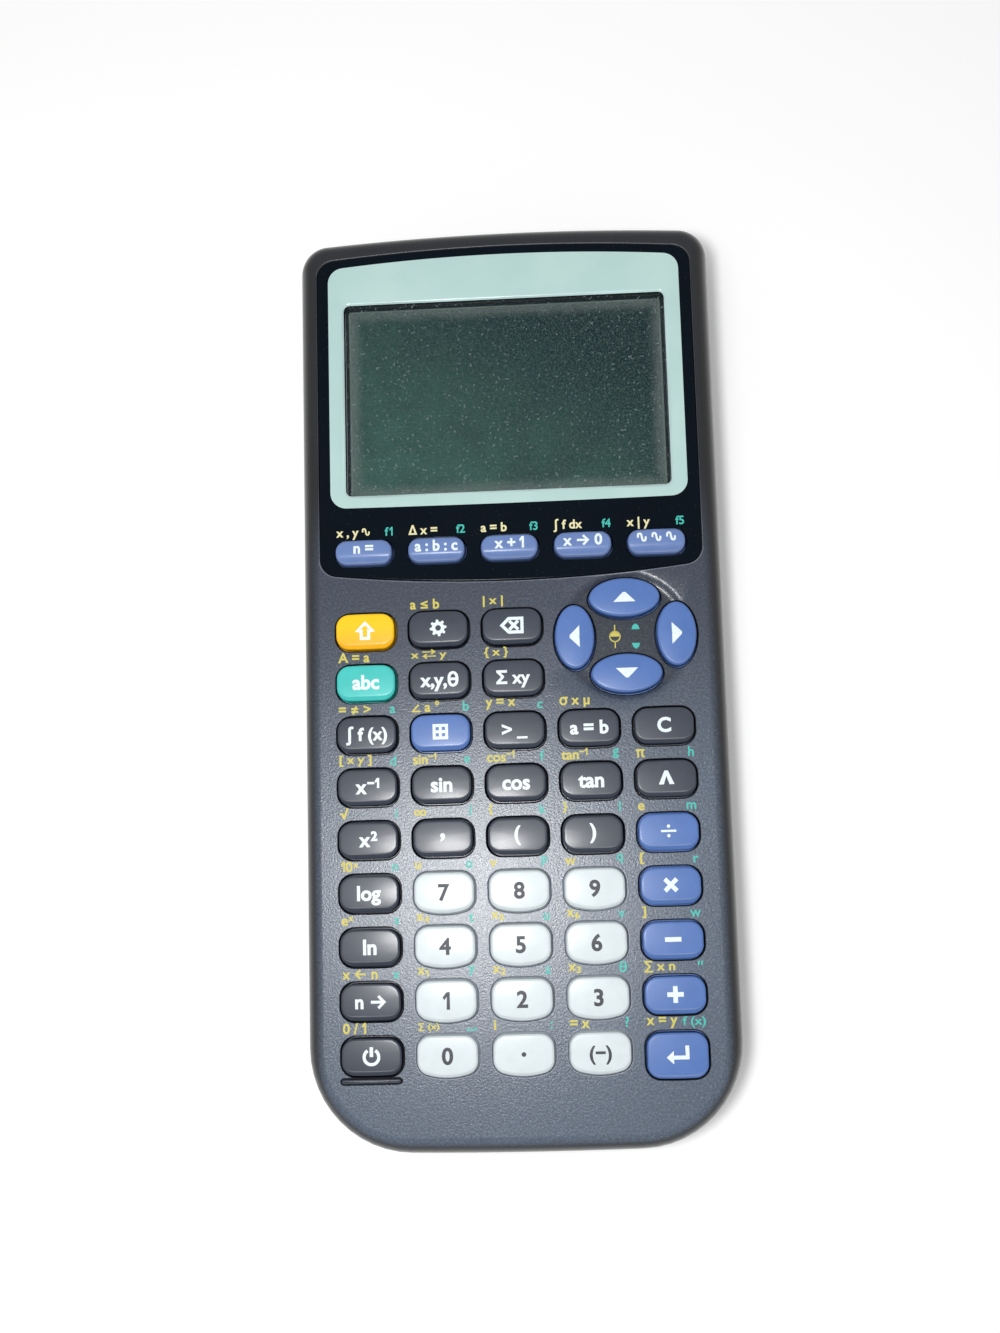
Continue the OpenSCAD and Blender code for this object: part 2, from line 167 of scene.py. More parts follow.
def casePlastic(name, colour, rough, gloss=0.4, lower=None, sides=None):
    # grained moulding: fine dark and light specks, a slow drift of tone, and a pebbled bump;
    # lower is the tone towards the user's end, and beside the display the tone is darker;
    # sides is the share of the tone that is left on the shoulders, which is painted shade
    s = caseTone
    f = Finish(name, Specular_IOR_Level=gloss)
    grain = f.noise(0.42, 3, 0.65)
    drift = f.noise(26, 2, 0.5)
    specks = f.band(f.noise(0.5, 2, 0.55), 0.57, 0.68)
    tone = colour
    if lower:
        tone = f.mix(f.band(f.axis("Y") * -1, *s["userEnd"]), colour, lower)
        tone = f.mix(f.band(f.axis("Y"), *s["display"]), tone, scaled(colour, s["displayShare"]))
    tone = f.mix(f.band(grain, 0.34, 0.66), f.times(tone, 0.78), f.times(tone, 1.2))
    tone = f.mix(f.band(drift, 0.3, 0.7) * 0.35, tone, f.times(tone, 1.16))
    tone = f.mix(specks * 0.4, tone, f.times(tone, 2.0))
    # painted shade: the shoulders darken as they fall away from the face and out towards the sides; far down
    # the sides the tone is the sides' own
    if sides:
        edge, low = [[faceZ - drop for drop in s[key]] for key in ("shoulderShadeDrop", "lowDrop")]
        tone = f.mix(f.band(f.axis("Z"), *edge), f.times(tone, sides), tone)
        tone = f.mix(f.band(f.axis("X").math("ABSOLUTE"), *s["out"]), tone, f.times(tone, 2 * sides))
        tone = f.mix(f.band(f.axis("Z"), *low), scaled(colour, s["lowShare"]), tone)
    return f.done(tone, rough - 0.1 + 0.2 * grain, grain, 0.05, 0.75)


def keyPlastic(name, colour, rough=0.36, drift=None, centre=0.0, half=4.0, wornAndLit=0.5):
    # smooth moulded cap: faint mottling, finger polish in soft patches, a paler edge along the front break
    # line that is wear and a painted highlight, and on some caps a tone that drifts along the key
    f = Finish(name, Specular_IOR_Level=0.3, Coat_Roughness=0.16)
    mottle = f.noise(2.6, 3, 0.55)
    fine = f.noise(0.3, 2, 0.5)
    tone = f.vary(mottle, colour, 0.965, 1.03)
    if drift:
        tone = f.mix(f.band(f.axis("Y"), centre - half, centre + half), tone, drift)
    pale = tuple(c + (0.75 - c) * 0.4 for c in colour[:3]) + (1.0,)
    # wear and a painted highlight: the cap is paler along its break ring
    wearAndHighlight = f.node("ShaderNodeAttribute", {"attribute_name": "wearAndHighlight"}, out=2)
    tone = f.mix(wearAndHighlight * (wornAndLit * 0.6 + mottle * wornAndLit * 0.8), tone, pale)
    f.set("Coat Weight", 0.1 + 0.15 * mottle)
    return f.done(tone, rough - 0.06 + 0.12 * mottle, fine, 0.012, 0.5)


def paint(name, colour):
    # printed mark: slightly uneven ink with pinholes of a darker tone
    f = Finish(name, Specular_IOR_Level=0.35)
    blots = f.noise(0.5, 2, 0.6)
    pinholes = f.band(f.noise(0.16, 1, 0.5), 0.62, 0.76)
    tone = f.mix(pinholes * 0.2, f.vary(blots, colour, 0.92, 1.05), scaled(colour, 0.6))
    return f.done(tone, 0.37 + 0.1 * blots, blots, 0.008, 0.5)


def glossPanel(name, colour, rough, gloss):
    # hard clear-coated sheet: hairline scuffs one way and a scatter of dust
    f = Finish(name, Specular_IOR_Level=gloss, Coat_Roughness=0.05, Coat_Weight=0.0)
    scuffs = f.band(f.noise(0.7, 2, 0.6, (0.05, 1, 1)), 0.56, 0.72)
    dust = f.band(f.noise(0.3, 0, 0.5), 0.78, 0.84)
    haze = f.noise(18, 2, 0.5)
    tone = f.mix(dust * 0.25, f.vary(haze, colour, 0.88, 1.12), scaled(shade(150, 160, 170), 0.4))
    return f.done(tone, rough + 0.1 * scuffs + 0.3 * dust, haze, 0.02, 0.2)


def metal(name, colour, rough):
    # plated metal: fine drawn lines, with duller blots
    f = Finish(name, Metallic=1.0)
    lines = f.noise(0.3, 3, 0.6)
    blots = f.noise(2.2, 2, 0.5)
    tone = f.mix(f.band(blots, 0.35, 0.7), colour, scaled(colour, 0.78))
    tone = f.mix(f.band(lines, 0.3, 0.7), scaled(colour, 0.9), tone)
    return f.done(tone, rough - 0.08 + 0.18 * blots, lines, 0.01, 0.4)


# surfaces: rings of points carried along a profile, and flat fills between outlines

def arcPoints(x, y, r, start, stop, n, bare=False):
    # points on an arc between two angles; a bare one leaves its two ends out
    a = np.radians(np.linspace(start, stop, n + 1))
    a = a[1:-1] if bare else a
    return np.column_stack([x + r * np.cos(a), y + r * np.sin(a)])


def circle(x, y, r, n=40):
    return arcPoints(x, y, r, 0, 360, n)[:-1]


def plate(w, top, bottom, sags, radii, d, n, m, stops=None):
    # outline of a plate with bowed ends and rounded corners, drawn d inside, anticlockwise:
    # a bowed end is an arc of radius (half width squared + sag squared) / (2 sag);
    # n steps go round a corner and m along an end
    bigT, bigB = [((w / 2) ** 2 + s * s) / (2 * s) for s in sags]
    xt, xb = w / 2 - radii[0], w / 2 - radii[1]
    ct, cb = top - bigT, bottom + bigB
    yt = ct + np.sqrt((bigT - radii[0]) ** 2 - xt * xt)
    yb = cb - np.sqrt((bigB - radii[1]) ** 2 - xb * xb)
    at, ab = np.degrees(np.arctan2(yt - ct, xt)), np.degrees(np.arctan2(cb - yb, xb))
    low = arcPoints(0, cb, bigB - d, 180 + ab, 360 - ab, m, True)
    if stops is not None:    # the lower end passes through these places across the plate
        a = np.radians(270) + np.arcsin(np.array(stops) / (bigB - d))
        low = np.column_stack([(bigB - d) * np.cos(a), cb + (bigB - d) * np.sin(a)])
    return np.vstack([
        arcPoints(xt, yt, radii[0] - d, 0, at, n), arcPoints(0, ct, bigT - d, at, 180 - at, m, True),
        arcPoints(-xt, yt, radii[0] - d, 180 - at, 180, n),
        arcPoints(-xb, yb, radii[1] - d, 180, 180 + ab, n), low,
        arcPoints(xb, yb, radii[1] - d, 360 - ab, 360, n)])


def squared(w, top, bottom, r, n=4, m=4):
    # the outline of a plate with straight ends and rounded corners, as a function of the distance drawn in
    return lambda d: plate(w, top, bottom, (0.01, 0.01), (r, r), d, n, m)


def lift(ring, z):
    return np.column_stack([ring, np.full(len(ring), float(z))])


def sweep(rings):
    # quads between rings of as many points each; rings that go up and then inward face outward
    rows, n = len(rings), len(rings[0])
    i, j = np.meshgrid(np.arange(rows - 1), np.arange(n), indexing="ij")
    k = (j + 1) % n
    quads = np.stack([i * n + j, i * n + k, (i + 1) * n + k, (i + 1) * n + j], -1).reshape(-1, 4)
    return np.vstack(rings), [quads]


def along(outline, profile):
    # an outline carried along a profile of (distance drawn in, height)
    return sweep([lift(outline(d), z) for d, z in profile])


def fan(ring, up=True):
    # a ring closed to its middle
    n = len(ring)
    j = np.arange(n)
    k = (j + 1) % n
    tris = np.stack([j, k, np.full(n, n)] if up else [k, j, np.full(n, n)], -1)
    return np.vstack([ring, ring.mean(0)]), [tris]


def against(points, ring):
    # the places of points in columns, and of both ends of every edge of a ring in rows
    ahead = np.roll(ring, -1, 0)
    return points[:, :1], points[:, 1:2], ring[:, 0], ring[:, 1], ahead[:, 0], ahead[:, 1]


def inside(points, ring):
    # even-odd test: how many edges of the ring lie to the right of each point
    x, y, x0, y0, x1, y1 = against(points, ring)
    crosses = (y0 > y) != (y1 > y)
    where = x0 + (y - y0) * (x1 - x0) / np.where(y1 == y0, 1e-12, y1 - y0)
    return (crosses & (x < where)).sum(1) % 2 == 1


def loopEdges(loops):
    # the edges of closed loops whose points are numbered one loop after another
    edges, start = [], 0
    for loop in loops:
        j = np.arange(len(loop))
        edges.append(np.column_stack([j, (j + 1) % len(loop)]) + start)
        start += len(loop)
    return np.vstack(edges).tolist()


def signedTurn(flat, tris):
    # twice the area of each triangle, positive where it runs anticlockwise
    a, b, c = flat[tris[:, 0]], flat[tris[:, 1]], flat[tris[:, 2]]
    return (b - a)[:, 0] * (c - a)[:, 1] - (b - a)[:, 1] * (c - a)[:, 0]


def fill(outer, holes, z, up=True, extra=None):
    # flat region between an outline and its holes, cut into triangles
    loops = [outer] + list(holes)
    points = np.vstack(loops + ([extra] if extra is not None else []))
    made = delaunay_2d_cdt(points.tolist(), loopEdges(loops), [], 0, 1e-7)
    first = np.array([o[0] if o else -1 for o in made[3]])
    flat = np.where((first >= 0)[:, None], points[first], np.array(made[0]))
    tris = np.array([f for f in made[2] if len(f) == 3])
    mid = flat[tris].mean(1)
    keep = inside(mid, outer)
    for hole in holes:
        near = keep & (np.abs(mid - hole.mean(0)).max(1) < np.ptp(hole, 0).max())
        keep[near] &= ~inside(mid[near], hole)
    tris = tris[keep]
    flip = signedTurn(flat, tris) * (1 if up else -1) < 0
    tris[flip] = tris[flip][:, ::-1]
    return lift(flat, z), [tris]


def lathe(profile, n=40):
    # (radius, height) pairs turned about the Z axis; a radius of 0 closes a pole
    return sweep([lift(circle(0, 0, max(r, 1e-4), n), z) for r, z in profile])


def tube(path, radius, sides):
    # a circle carried along a path, square to it, with its ends closed to a point
    step = np.gradient(path, axis=0)
    step /= np.linalg.norm(step, axis=1)[:, None]
    side = np.cross(step, (0.0, 0.0, 1.0))
    side /= np.linalg.norm(side, axis=1)[:, None]
    up = np.cross(side, step)
    a = np.linspace(0, 2 * pi, sides, endpoint=False)[:, None, None]
    rings = path + radius * (np.cos(a) * side + np.sin(a) * up)
    rings = np.swapaxes(rings, 0, 1)
    ends = [np.repeat(path[:1], sides, 0), np.repeat(path[-1:], sides, 0)]
    return sweep([ends[0]] + list(rings) + [ends[1]])


def moved(part, shift=(0, 0, 0), turn=None):
    # turn is a 3 by 3 rotation, used before the shift
    points, faces = part
    if turn is not None:
        points = points @ np.array(turn, float).T
    return points + np.array(shift, float), faces


def linked(name, data):
    # a new object in the scene
    made = bpy.data.objects.new(name, data)
    bpy.context.scene.collection.objects.link(made)
    return made


def build(name, parts, mats, rides=body, nodes=(), sharp=32.0, wearAndHighlight=None):
    # one closed mesh from (part, material number) pairs, where points that meet, to a ten-thousandth
    # of a millimetre, are made one and a side of no length is left out; the wear value, from 0 to 1 for each
    # point of the parts, is the pale edge of a cap, which is wear and a painted highlight
    points, faces, numbers, start = [], [], [], 0
    for (pts, groups), number in parts:
        points.append(pts)
        for group in groups:
            faces.append((group + start, number))
        start += len(pts)
    points = np.vstack(points)
    same, back = np.unique(np.round(points * 1e4).astype(np.int64), axis=0, return_inverse=True)
    back = back.ravel()
    kept = np.zeros((len(same), 3))
    kept[back] = points
    polygons = []
    for group, number in faces:
        for corners in back[group].tolist():
            corners = [c for c, last in zip(corners, corners[-1:] + corners[:-1]) if c != last]
            if len(corners) > 2:
                polygons.append(corners)
                numbers.append(number)
    mesh = bpy.data.meshes.new(name)
    mesh.from_pydata((kept * mm).tolist(), [], polygons)
    mesh.polygons.foreach_set("material_index", numbers)
    mesh.polygons.foreach_set("use_smooth", [True] * len(polygons))
    mesh.set_sharp_from_angle(angle=np.radians(sharp))
    if wearAndHighlight is not None:
        values = np.zeros(len(kept), np.float32)
        values[back] = wearAndHighlight
        mesh.attributes.new("wearAndHighlight", "FLOAT", "POINT").data.foreach_set("value", values)
    for mat in mats:
        mesh.materials.append(mat)
    mesh.update()
    piece = linked(name, mesh)
    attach(piece, rides)
    if nodes:
        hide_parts(*nodes)


# finishes

faceZ, ceilingZ, panelZ, partingZ = 21.0, 18.7, 19.6, 9.5
inkWhite = paint("inkWhite", shade(232, 244, 248))
inkDark = paint("inkDark", shade(34, 39, 50))
inkYellow = paint("inkYellow", shade(208, 196, 92))
inkCream = paint("inkCream", shade(234, 228, 176))
inkTeal = paint("inkTeal", shade(66, 188, 176))
# the last value is the share of the tone left on the shoulders, painted shade
caseFront = casePlastic("caseFront", shade(56, 63, 77), 0.22, 0.38, shade(83, 94, 109), 0.1)
# painted shade: near-black for the walls of the key holes, the function-key slots and the groove round the
# bar, which are case plastic in shade
holeShade = casePlastic("holeShade", shade(18, 20, 26), 0.6, 0.15)
# edges of the display pocket and of the white keys' holes: paler as wear and a painted highlight, dimmer
# beside the display
lipWornAndLit = casePlastic("lipWornAndLit", shade(100, 106, 118), 0.36, 0.5, shade(120, 126, 138))
barTone = casePlastic("barTone", shade(58, 64, 76), 0.32, 0.5)
caseBack = casePlastic("caseBack", shade(42, 46, 57), 0.55, 0.3)
keyFinish = {
    "blue": keyPlastic("keyBlue", shade(80, 115, 180)),
    "dark": keyPlastic("keyDark", shade(44, 52, 66)),
    "white": keyPlastic("keyWhite", shade(214, 224, 227), 0.42, wornAndLit=0.1),
    "orange": keyPlastic("keyOrange", shade(250, 182, 8), 0.36, shade(255, 206, 8), 8.0, 2.5, 0.35),
    "teal": keyPlastic("keyTeal", shade(64, 197, 190), wornAndLit=0.35),
    "lilac": keyPlastic("keyLilac", shade(102, 128, 182))}
print("finishes ready")


# keys: outlines and heights

# a cap: sags of its ends, corner radii, highest point, sag of the crown, how far the sloping edge reaches in
# at the sides and at the front, and its steepness
plainCap = {
    "sags": (0.12, 0.12), "radii": (2.5, 2.5), "top": 22.46, "crown": 0.2, "side": 0.28, "front": 0.85,
    "slope": 0.6}
# a number key's walls lean out below the face; a function key slopes down to the user from its break line
keyShape = {
    "hole": 0.35, "flange": 0.6, "flangeLow": 17.7, "flangeHigh": 18.5, "plain": plainCap,
    "number": {**plainCap, "sags": (0.12, 1.25), "side": 0.3, "front": 0.55, "slope": 0.7, "lean": 0.27},
    "enter": {**plainCap, "sags": (0.12, 0.2), "side": 0.3, "front": 0.5},
    "function": {**plainCap, "sags": (0.1, 0.1), "radii": (2.1, 2.1), "top": 22.96, "side": 0.3,
                 "front": 0.35, "slope": 0.9, "breakLine": -0.95, "fall": 0.567, "bend": 5},
    "arrow": {**plainCap, "crown": 0.45, "side": 0.3, "front": 0.45, "slope": 0.8}}


def keyPlace(node):
    # middle and size of a cap, from the box of its CAD node without the flange
    lo, hi = np.array(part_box(node))[:, :2] / mm
    return (lo + hi) / 2, hi - lo - 2 * keyShape["flange"]


def keyKind(node):
    if node.startswith("key_function"):
        return "function"
    if node.startswith("key_arrow"):
        return "arrow"
    if node == "key_enter":
        return "enter"
    return "number" if node[4:].isdigit() or node in ("key_point", "key_negative") else "plain"


def keyOutline(node, d):
    # outline of a cap about its middle, drawn d inside; an arrow key is an oval
    kind = keyKind(node)
    w, h = keyPlace(node)[1]
    if kind == "arrow":
        return circle(0, 0, 1, 64) * [w / 2 - d, h / 2 - d]
    shape = keyShape[kind]
    return plate(w, h / 2, -h / 2, shape["sags"], shape["radii"], d, 8, 10 if kind == "number" else 6)


def crownHeight(node, x, y):
    # top of a cap: highest at its middle, falling with the square of the way out; beyond its break line
    # a function key falls away evenly, with the bend between eased
    w, h = keyPlace(node)[1]
    shape = keyShape[keyKind(node)]
    z = shape["top"] - shape["crown"] * ((2 * x / w) ** 2 + (2 * y / h) ** 2) / 2
    if "breakLine" in shape:
        z = z - shape["fall"] * np.logaddexp(0, (shape["breakLine"] - y) * shape["bend"]) / shape["bend"]
    return z


keyNodes = sorted(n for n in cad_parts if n.startswith("key_"))
holeNodes = [n for n in keyNodes if keyKind(n) != "function"]
slotNodes = [n for n in keyNodes if keyKind(n) == "function"]


def keyHole(node, d):
    return keyOutline(node, -keyShape["hole"] + d) + keyPlace(node)[0]


# front case: rim swept round the body, a lipped hole for every key, a shallow dish for the arrow keys

frontShell = {
    "size": (83.0, 182.51), "sags": (1.6, 0.8), "radii": (6.0, 20.0), "wall": 2.2, "shoulder": (3.4, 5.5),
    "lip": 0.13, "panelLip": 0.2, "panelGap": 0.1, "cavity": 4.6, "jackHole": 3.15,
    "dish": (22.04, 6.305), "dishFloor": 11.3, "dishRim": 13.3, "dishDepth": 0.6,
    "bar": (-28.97, -77.055), "barSize": (11.3, 0.8), "barRise": 0.5, "groove": 0.33, "grooveDepth": 0.5}
bodyTop = frontShell["size"][1] / 2
quarter = np.radians(np.linspace(0, 90, 13))


def bodyRing(d):
    # body outline; its lower end has extra places where the jack hole cuts it
    s = frontShell
    w, r, sag, corner = s["size"][0], s["jackHole"], s["sags"][1], s["radii"][1]
    bow = ((w / 2) ** 2 + sag ** 2) / (2 * sag)
    edge = (bow - d) * (w / 2 - corner) / (bow - corner)
    notch = r * np.sin(np.radians(np.linspace(-90, 90, 25)))
    stops = np.concatenate([np.linspace(-edge, -r, 7)[1:-1], notch, np.linspace(r, edge, 7)[1:-1]])
    return plate(w, bodyTop, -bodyTop, s["sags"], s["radii"], d, 12, 22, stops)


def notched(part, reach, upward):
    # the jack hole as a half-round notch in the end wall: points within reach of the parting line are
    # squeezed away from it, by the height of the hole's edge at their place across the wall
    points, faces = part
    points = points.copy()
    x, y, z = points.T
    r = frontShell["jackHole"]
    rise = np.where((np.abs(x) < r) & (y < 0), np.sqrt(np.maximum(r * r - x * x, 0)), 0.0)
    share = np.clip(1 - np.abs(z - partingZ) / reach, 0, 1)
    points[:, 2] += (1 if upward else -1) * rise * share
    return points, faces


def dishDrop(points):
    # the face sinks smoothly from the rim of the dish to its flat floor; the drop fades down to the ceiling
    s = frontShell
    r = np.hypot(points[:, 0] - s["dish"][0], points[:, 1] - s["dish"][1])
    t = np.clip((s["dishRim"] - r) / (s["dishRim"] - s["dishFloor"]), 0, 1)
    fade = np.clip((points[:, 2] - ceilingZ) / (faceZ - ceilingZ), 0, 1)
    return s["dishDepth"] * t * t * (3 - 2 * t) * fade


flush = 0.06    # strip of face round each hole that the rounded lip starts from


def holeWall(outline, top, bottom, radius):
    # a rounded edge, from the strip flush with the face down into the hole, then straight down
    lip = [(-radius * (1 - np.sin(t)), top - radius * (1 - np.cos(t))) for t in np.radians([0, 30, 60, 90])]
    return along(outline, [(-radius - flush, top)] + lip + [(0.0, bottom)])


windowSize = (64.6, 75.905, 36.305)    # width, upper and lower edge


def panelOutline(d):
    # the display panel: width, upper and lower edge, sags of the ends, corner radii
    return plate(75.2, 86.905, 18.205, (1.8, 2.4), (3.5, 3.5), d, 10, 22)


windowOutline = squared(*windowSize, 1.0, 6)


def dishPoints():
    # places inside the dish, on circles, that stay clear of the key holes
    cx, cy = frontShell["dish"]
    rings = [circle(cx, cy, r, 72) for r in (13.3, 12.9, 12.5, 12.1, 11.7, 11.3, 9, 6, 3)]
    spots = np.vstack(rings)
    free = np.ones(len(spots), bool)
    for n in holeNodes:
        free &= ~inside(spots, keyHole(n, -frontShell["lip"] - 0.2))
    free &= inside(spots, bodyRing(frontShell["shoulder"][0] + 0.5)) & ~inside(spots, panelOutline(-0.5))
    return spots[free]


def frontCase():
    s = frontShell
    across, down = s["shoulder"]
    shoulder = [(across * (1 - np.cos(t)), faceZ - down * (1 - np.sin(t))) for t in quarter]
    wall, cavity = s["wall"], s["cavity"]
    outer = [(wall, partingZ), (0.32, partingZ), (0.14, 9.54), (0.04, 9.64), (0, 9.85), (0, 11.5), (0, 13.5)]
    rim = along(bodyRing, outer + shoulder + [(across + 0.2, faceZ)])
    inner = [(cavity, ceilingZ), (cavity, 17.5), (wall, 17.5), (wall, 16.0), (wall, partingZ)]
    pocket = lambda d: panelOutline(d - s["panelGap"])
    w, h = s["barSize"]
    bar = lambda d: plate(w, h / 2, -h / 2, (0.02, 0.02), (0.44, 0.44), d, 6, 4) + np.array(s["bar"])
    low, high = faceZ - s["grooveDepth"], faceZ + s["barRise"]
    topHoles = [keyHole(n, -s["lip"] - flush) for n in holeNodes]
    topHoles += [bar(-s["groove"]), pocket(-s["panelLip"] - flush)]
    window = [windowOutline(0)]
    parts = [
        notched(rim, 6.0, True), notched(along(bodyRing, inner), 6.0, True),
        fill(bodyRing(across + 0.2), topHoles, faceZ, extra=dishPoints()),
        fill(pocket(0), [keyHole(n, 0) for n in slotNodes] + window, panelZ),
        along(windowOutline, [(0, panelZ), (0, ceilingZ)]),
        fill(bodyRing(cavity), [keyHole(n, 0) for n in keyNodes] + window, ceilingZ, False)]
    wornAndLit, dark = [holeWall(pocket, faceZ, panelZ, s["panelLip"])], []
    for n in holeNodes:    # round the white keys the edge of the hole is pale, wear and a painted highlight; round the others it is dark, painted shade
        wall = holeWall(lambda d: keyHole(n, d), faceZ, ceilingZ, s["lip"])
        (wornAndLit if keyKind(n) == "number" else dark).append(wall)
    # the slot walls and the bar's groove take the painted shade as well
    dark += [along(lambda d, n=n: keyHole(n, d), [(0, panelZ), (0, ceilingZ)]) for n in slotNodes]
    dark.append(along(bar, [(-s["groove"], faceZ), (-s["groove"], low), (0, low)]))
    ridge = [along(bar, [(0, low), (0, high - 0.3), (0.09, high - 0.09), (0.3, high)])]
    ridge.append(fan(lift(bar(0.3), high)))
    sunk = []
    for number, group in enumerate((parts, dark, wornAndLit, ridge)):
        for points, faces in group:
            points = points.copy()
            points[:, 2] -= dishDrop(points)
            sunk.append(((points, faces), number))
    mats = [caseFront, holeShade, lipWornAndLit, barTone]
    build("frontShell", sunk, mats, nodes=["front_case"])


frontCase()
print("front case built")


# back case: rim, flat back with the door opening, screw pockets, battery bay and feet

backShell = {
    "edge": (5.0, 5.5), "backZ": 0.8, "floorZ": 2.8, "inner": 4.2, "lipZ": 6.2,
    "bay": (44.5, 77.505, 26.505), "bayWall": 1.2, "roofZ": 13.8, "bayTop": 14.6,
    "door": (52.5, 79.505, 24.705), "doorGap": 0.25, "bevel": 0.25, "pocket": 2.2, "pocketZ": 3.62,
    "screws": [(33.0, 83.505), (33.0, 17.105), (29.0, -82.505)],
    "feet": [(32.0, 77.255), (32.0, -76.255)], "footR": 2.8}


def backCase():
    s = backShell
    wall, cavity = frontShell["wall"], frontShell["cavity"]
    across, up = s["edge"]
    edge = [(across * (1 - np.sin(t)), s["backZ"] + up * (1 - np.cos(t))) for t in quarter]
    outer = edge + [(0, 8.0), (0, 9.15), (0.04, 9.36), (0.14, 9.46), (0.32, partingZ), (wall, partingZ)]
    inner = [(wall, s["lipZ"]), (cavity, s["lipZ"]), (cavity, s["inner"])]
    rim = notched(along(bodyRing, outer + inner), 3.2, False)
    lid = squared(*s["door"], 2.5, 8, 6)
    door = lambda d: lid(d - s["doorGap"])
    bay = squared(*s["bay"], 0.8)
    spots = [(side * x, y) for x, y in s["screws"] for side in (-1, 1)]
    bevel = s["bevel"]
    holes = [door(-bevel)] + [circle(x, y, s["pocket"] + bevel) for x, y in spots]
    # the wall of a hole in the back faces the middle of the hole, so its faces are turned round
    parts = [
        rim, fill(bodyRing(across), holes, s["backZ"], False),
        flipped(along(door, [(-bevel, s["backZ"]), (0, s["backZ"] + bevel), (0, s["floorZ"])])),
        fill(door(0), [bay(0)], s["floorZ"], False),
        flipped(along(bay, [(0, s["floorZ"]), (0, s["roofZ"])])), fan(lift(bay(0), s["roofZ"]), False)]
    for x, y in spots:
        ring = lambda d: circle(x, y, s["pocket"] - d)
        parts.append(flipped(along(ring, [(-bevel, s["backZ"]), (0, s["backZ"] + bevel), (0, s["pocketZ"])])))
        parts.append(fan(lift(ring(0), s["pocketZ"]), False))
    out = -s["bayWall"]
    parts += [fill(bodyRing(cavity), [bay(out)], s["inner"]),
              along(bay, [(out, s["inner"]), (out, s["bayTop"])]), fan(lift(bay(out), s["bayTop"]))]
    r = s["footR"]
    foot = [(0, 0), (r - 0.5, 0), (r - 0.15, 0.15), (r, 0.5), (r + 0.05, 0.78), (r + 0.3, 1.1), (0, 1.2)]
    parts += [moved(lathe(foot), (side * x, y, 0)) for x, y in s["feet"] for side in (-1, 1)]
    build("backShell", [(p, 0) for p in parts], [caseBack], nodes=["back_case"])


def flipped(part):
    points, faces = part
    return points, [f[:, ::-1] for f in faces]


backCase()
print("back case built")


# display: black panel with a mint surround, pale bevel, clear pane, LCD below

displaySet = {
    "topZ": 21.0, "slotLip": 0.14, "mint": (70.8, 85.3, 33.7), "mintSags": (1.7, 0.2), "mintRadius": 3.2,
    "bevel": 0.55, "bevelDrop": 0.3, "pane": (20.2, 20.5),
    "glass": (64.4, 76.4, 35.8), "glassZ": (16.0, 18.0), "rim": 0.55, "bezelGrow": 3.0, "bezelZ": 18.4}


def mintOutline(d):
    w, top, low = displaySet["mint"]
    return plate(w, top, low, displaySet["mintSags"], (displaySet["mintRadius"],) * 2, d, 10, 22)


opening = squared(*windowSize, 1.2, 10, 22)


def printedMint():
    # pale green ink under a clear gloss, a little uneven, with hairline wear
    f = Finish("printedMint", Specular_IOR_Level=0.3, Coat_Weight=0.15, Coat_Roughness=0.08)
    wash = f.noise(14, 3, 0.5)
    fibre = f.noise(0.35, 2, 0.6)
    tone = f.mix(f.band(wash, 0.3, 0.7), shade(181, 212, 208), shade(190, 219, 214))
    tone = f.mix(f.band(fibre, 0.62, 0.78) * 0.3, tone, shade(136, 170, 168))
    return f.done(tone, 0.2 + 0.12 * fibre, fibre, 0.01, 0.3)


def lcdGlass():
    # dim liquid crystal, bluer at the upper right and greener at the lower left: cloudy patches, fine rows of
    # cells, polariser grain, and a frosty speckled border
    f = Finish("lcdGlass", Specular_IOR_Level=0.08)
    x, y = f.axis("X"), f.axis("Y") - 56.1
    cloud = f.noise(9, 3, 0.6)
    grain = f.noise(0.42, 2, 0.7)
    row = f.band((y * 9.0).math("SINE"), -1, 1)
    tone = f.mix(f.band(y * 0.8 + x * 0.5, -20, 22), shade(57, 92, 83), shade(24, 41, 45))
    tone = f.mix(f.band(cloud, 0.3, 0.72) * 0.5, tone, shade(36, 52, 54))
    tone = f.mix(f.band(grain, 0.44, 0.66) * 0.42, tone, shade(84, 112, 104))
    tone = f.mix(row * 0.08, tone, shade(20, 34, 34))
    wide = f.noise(4, 3, 0.7) * 2.4
    edge = (x.math("ABSOLUTE") + wide - 31.2).math("MAXIMUM", y.math("ABSOLUTE") + wide - 18.9)
    frost = f.band(edge, -1.4, 1.4) * (0.25 + 0.75 * f.band(f.noise(0.24, 2, 0.7), 0.4, 0.6))
    tone = f.mix(frost * 0.8, tone, shade(120, 130, 128))
    return f.done(tone, 0.3 + 0.14 * grain, grain, 0.008, 0.4)


def clearPane():
    # clear sheet that shows only as a faint smear and a little dust
    f = Finish("clearPane", Specular_IOR_Level=0.5)
    dust = f.band(f.noise(0.5, 0, 0.5), 0.72, 0.8)
    smear = f.noise(9, 3, 0.6, (1, 0.4, 1))
    f.set("Base Color", f.mix(dust, shade(60, 80, 84), shade(170, 190, 190)))
    f.set("Alpha", 0.03 + 0.03 * smear + 0.2 * dust)
    f.set("Roughness", 0.08 + 0.16 * smear)
    return f.material


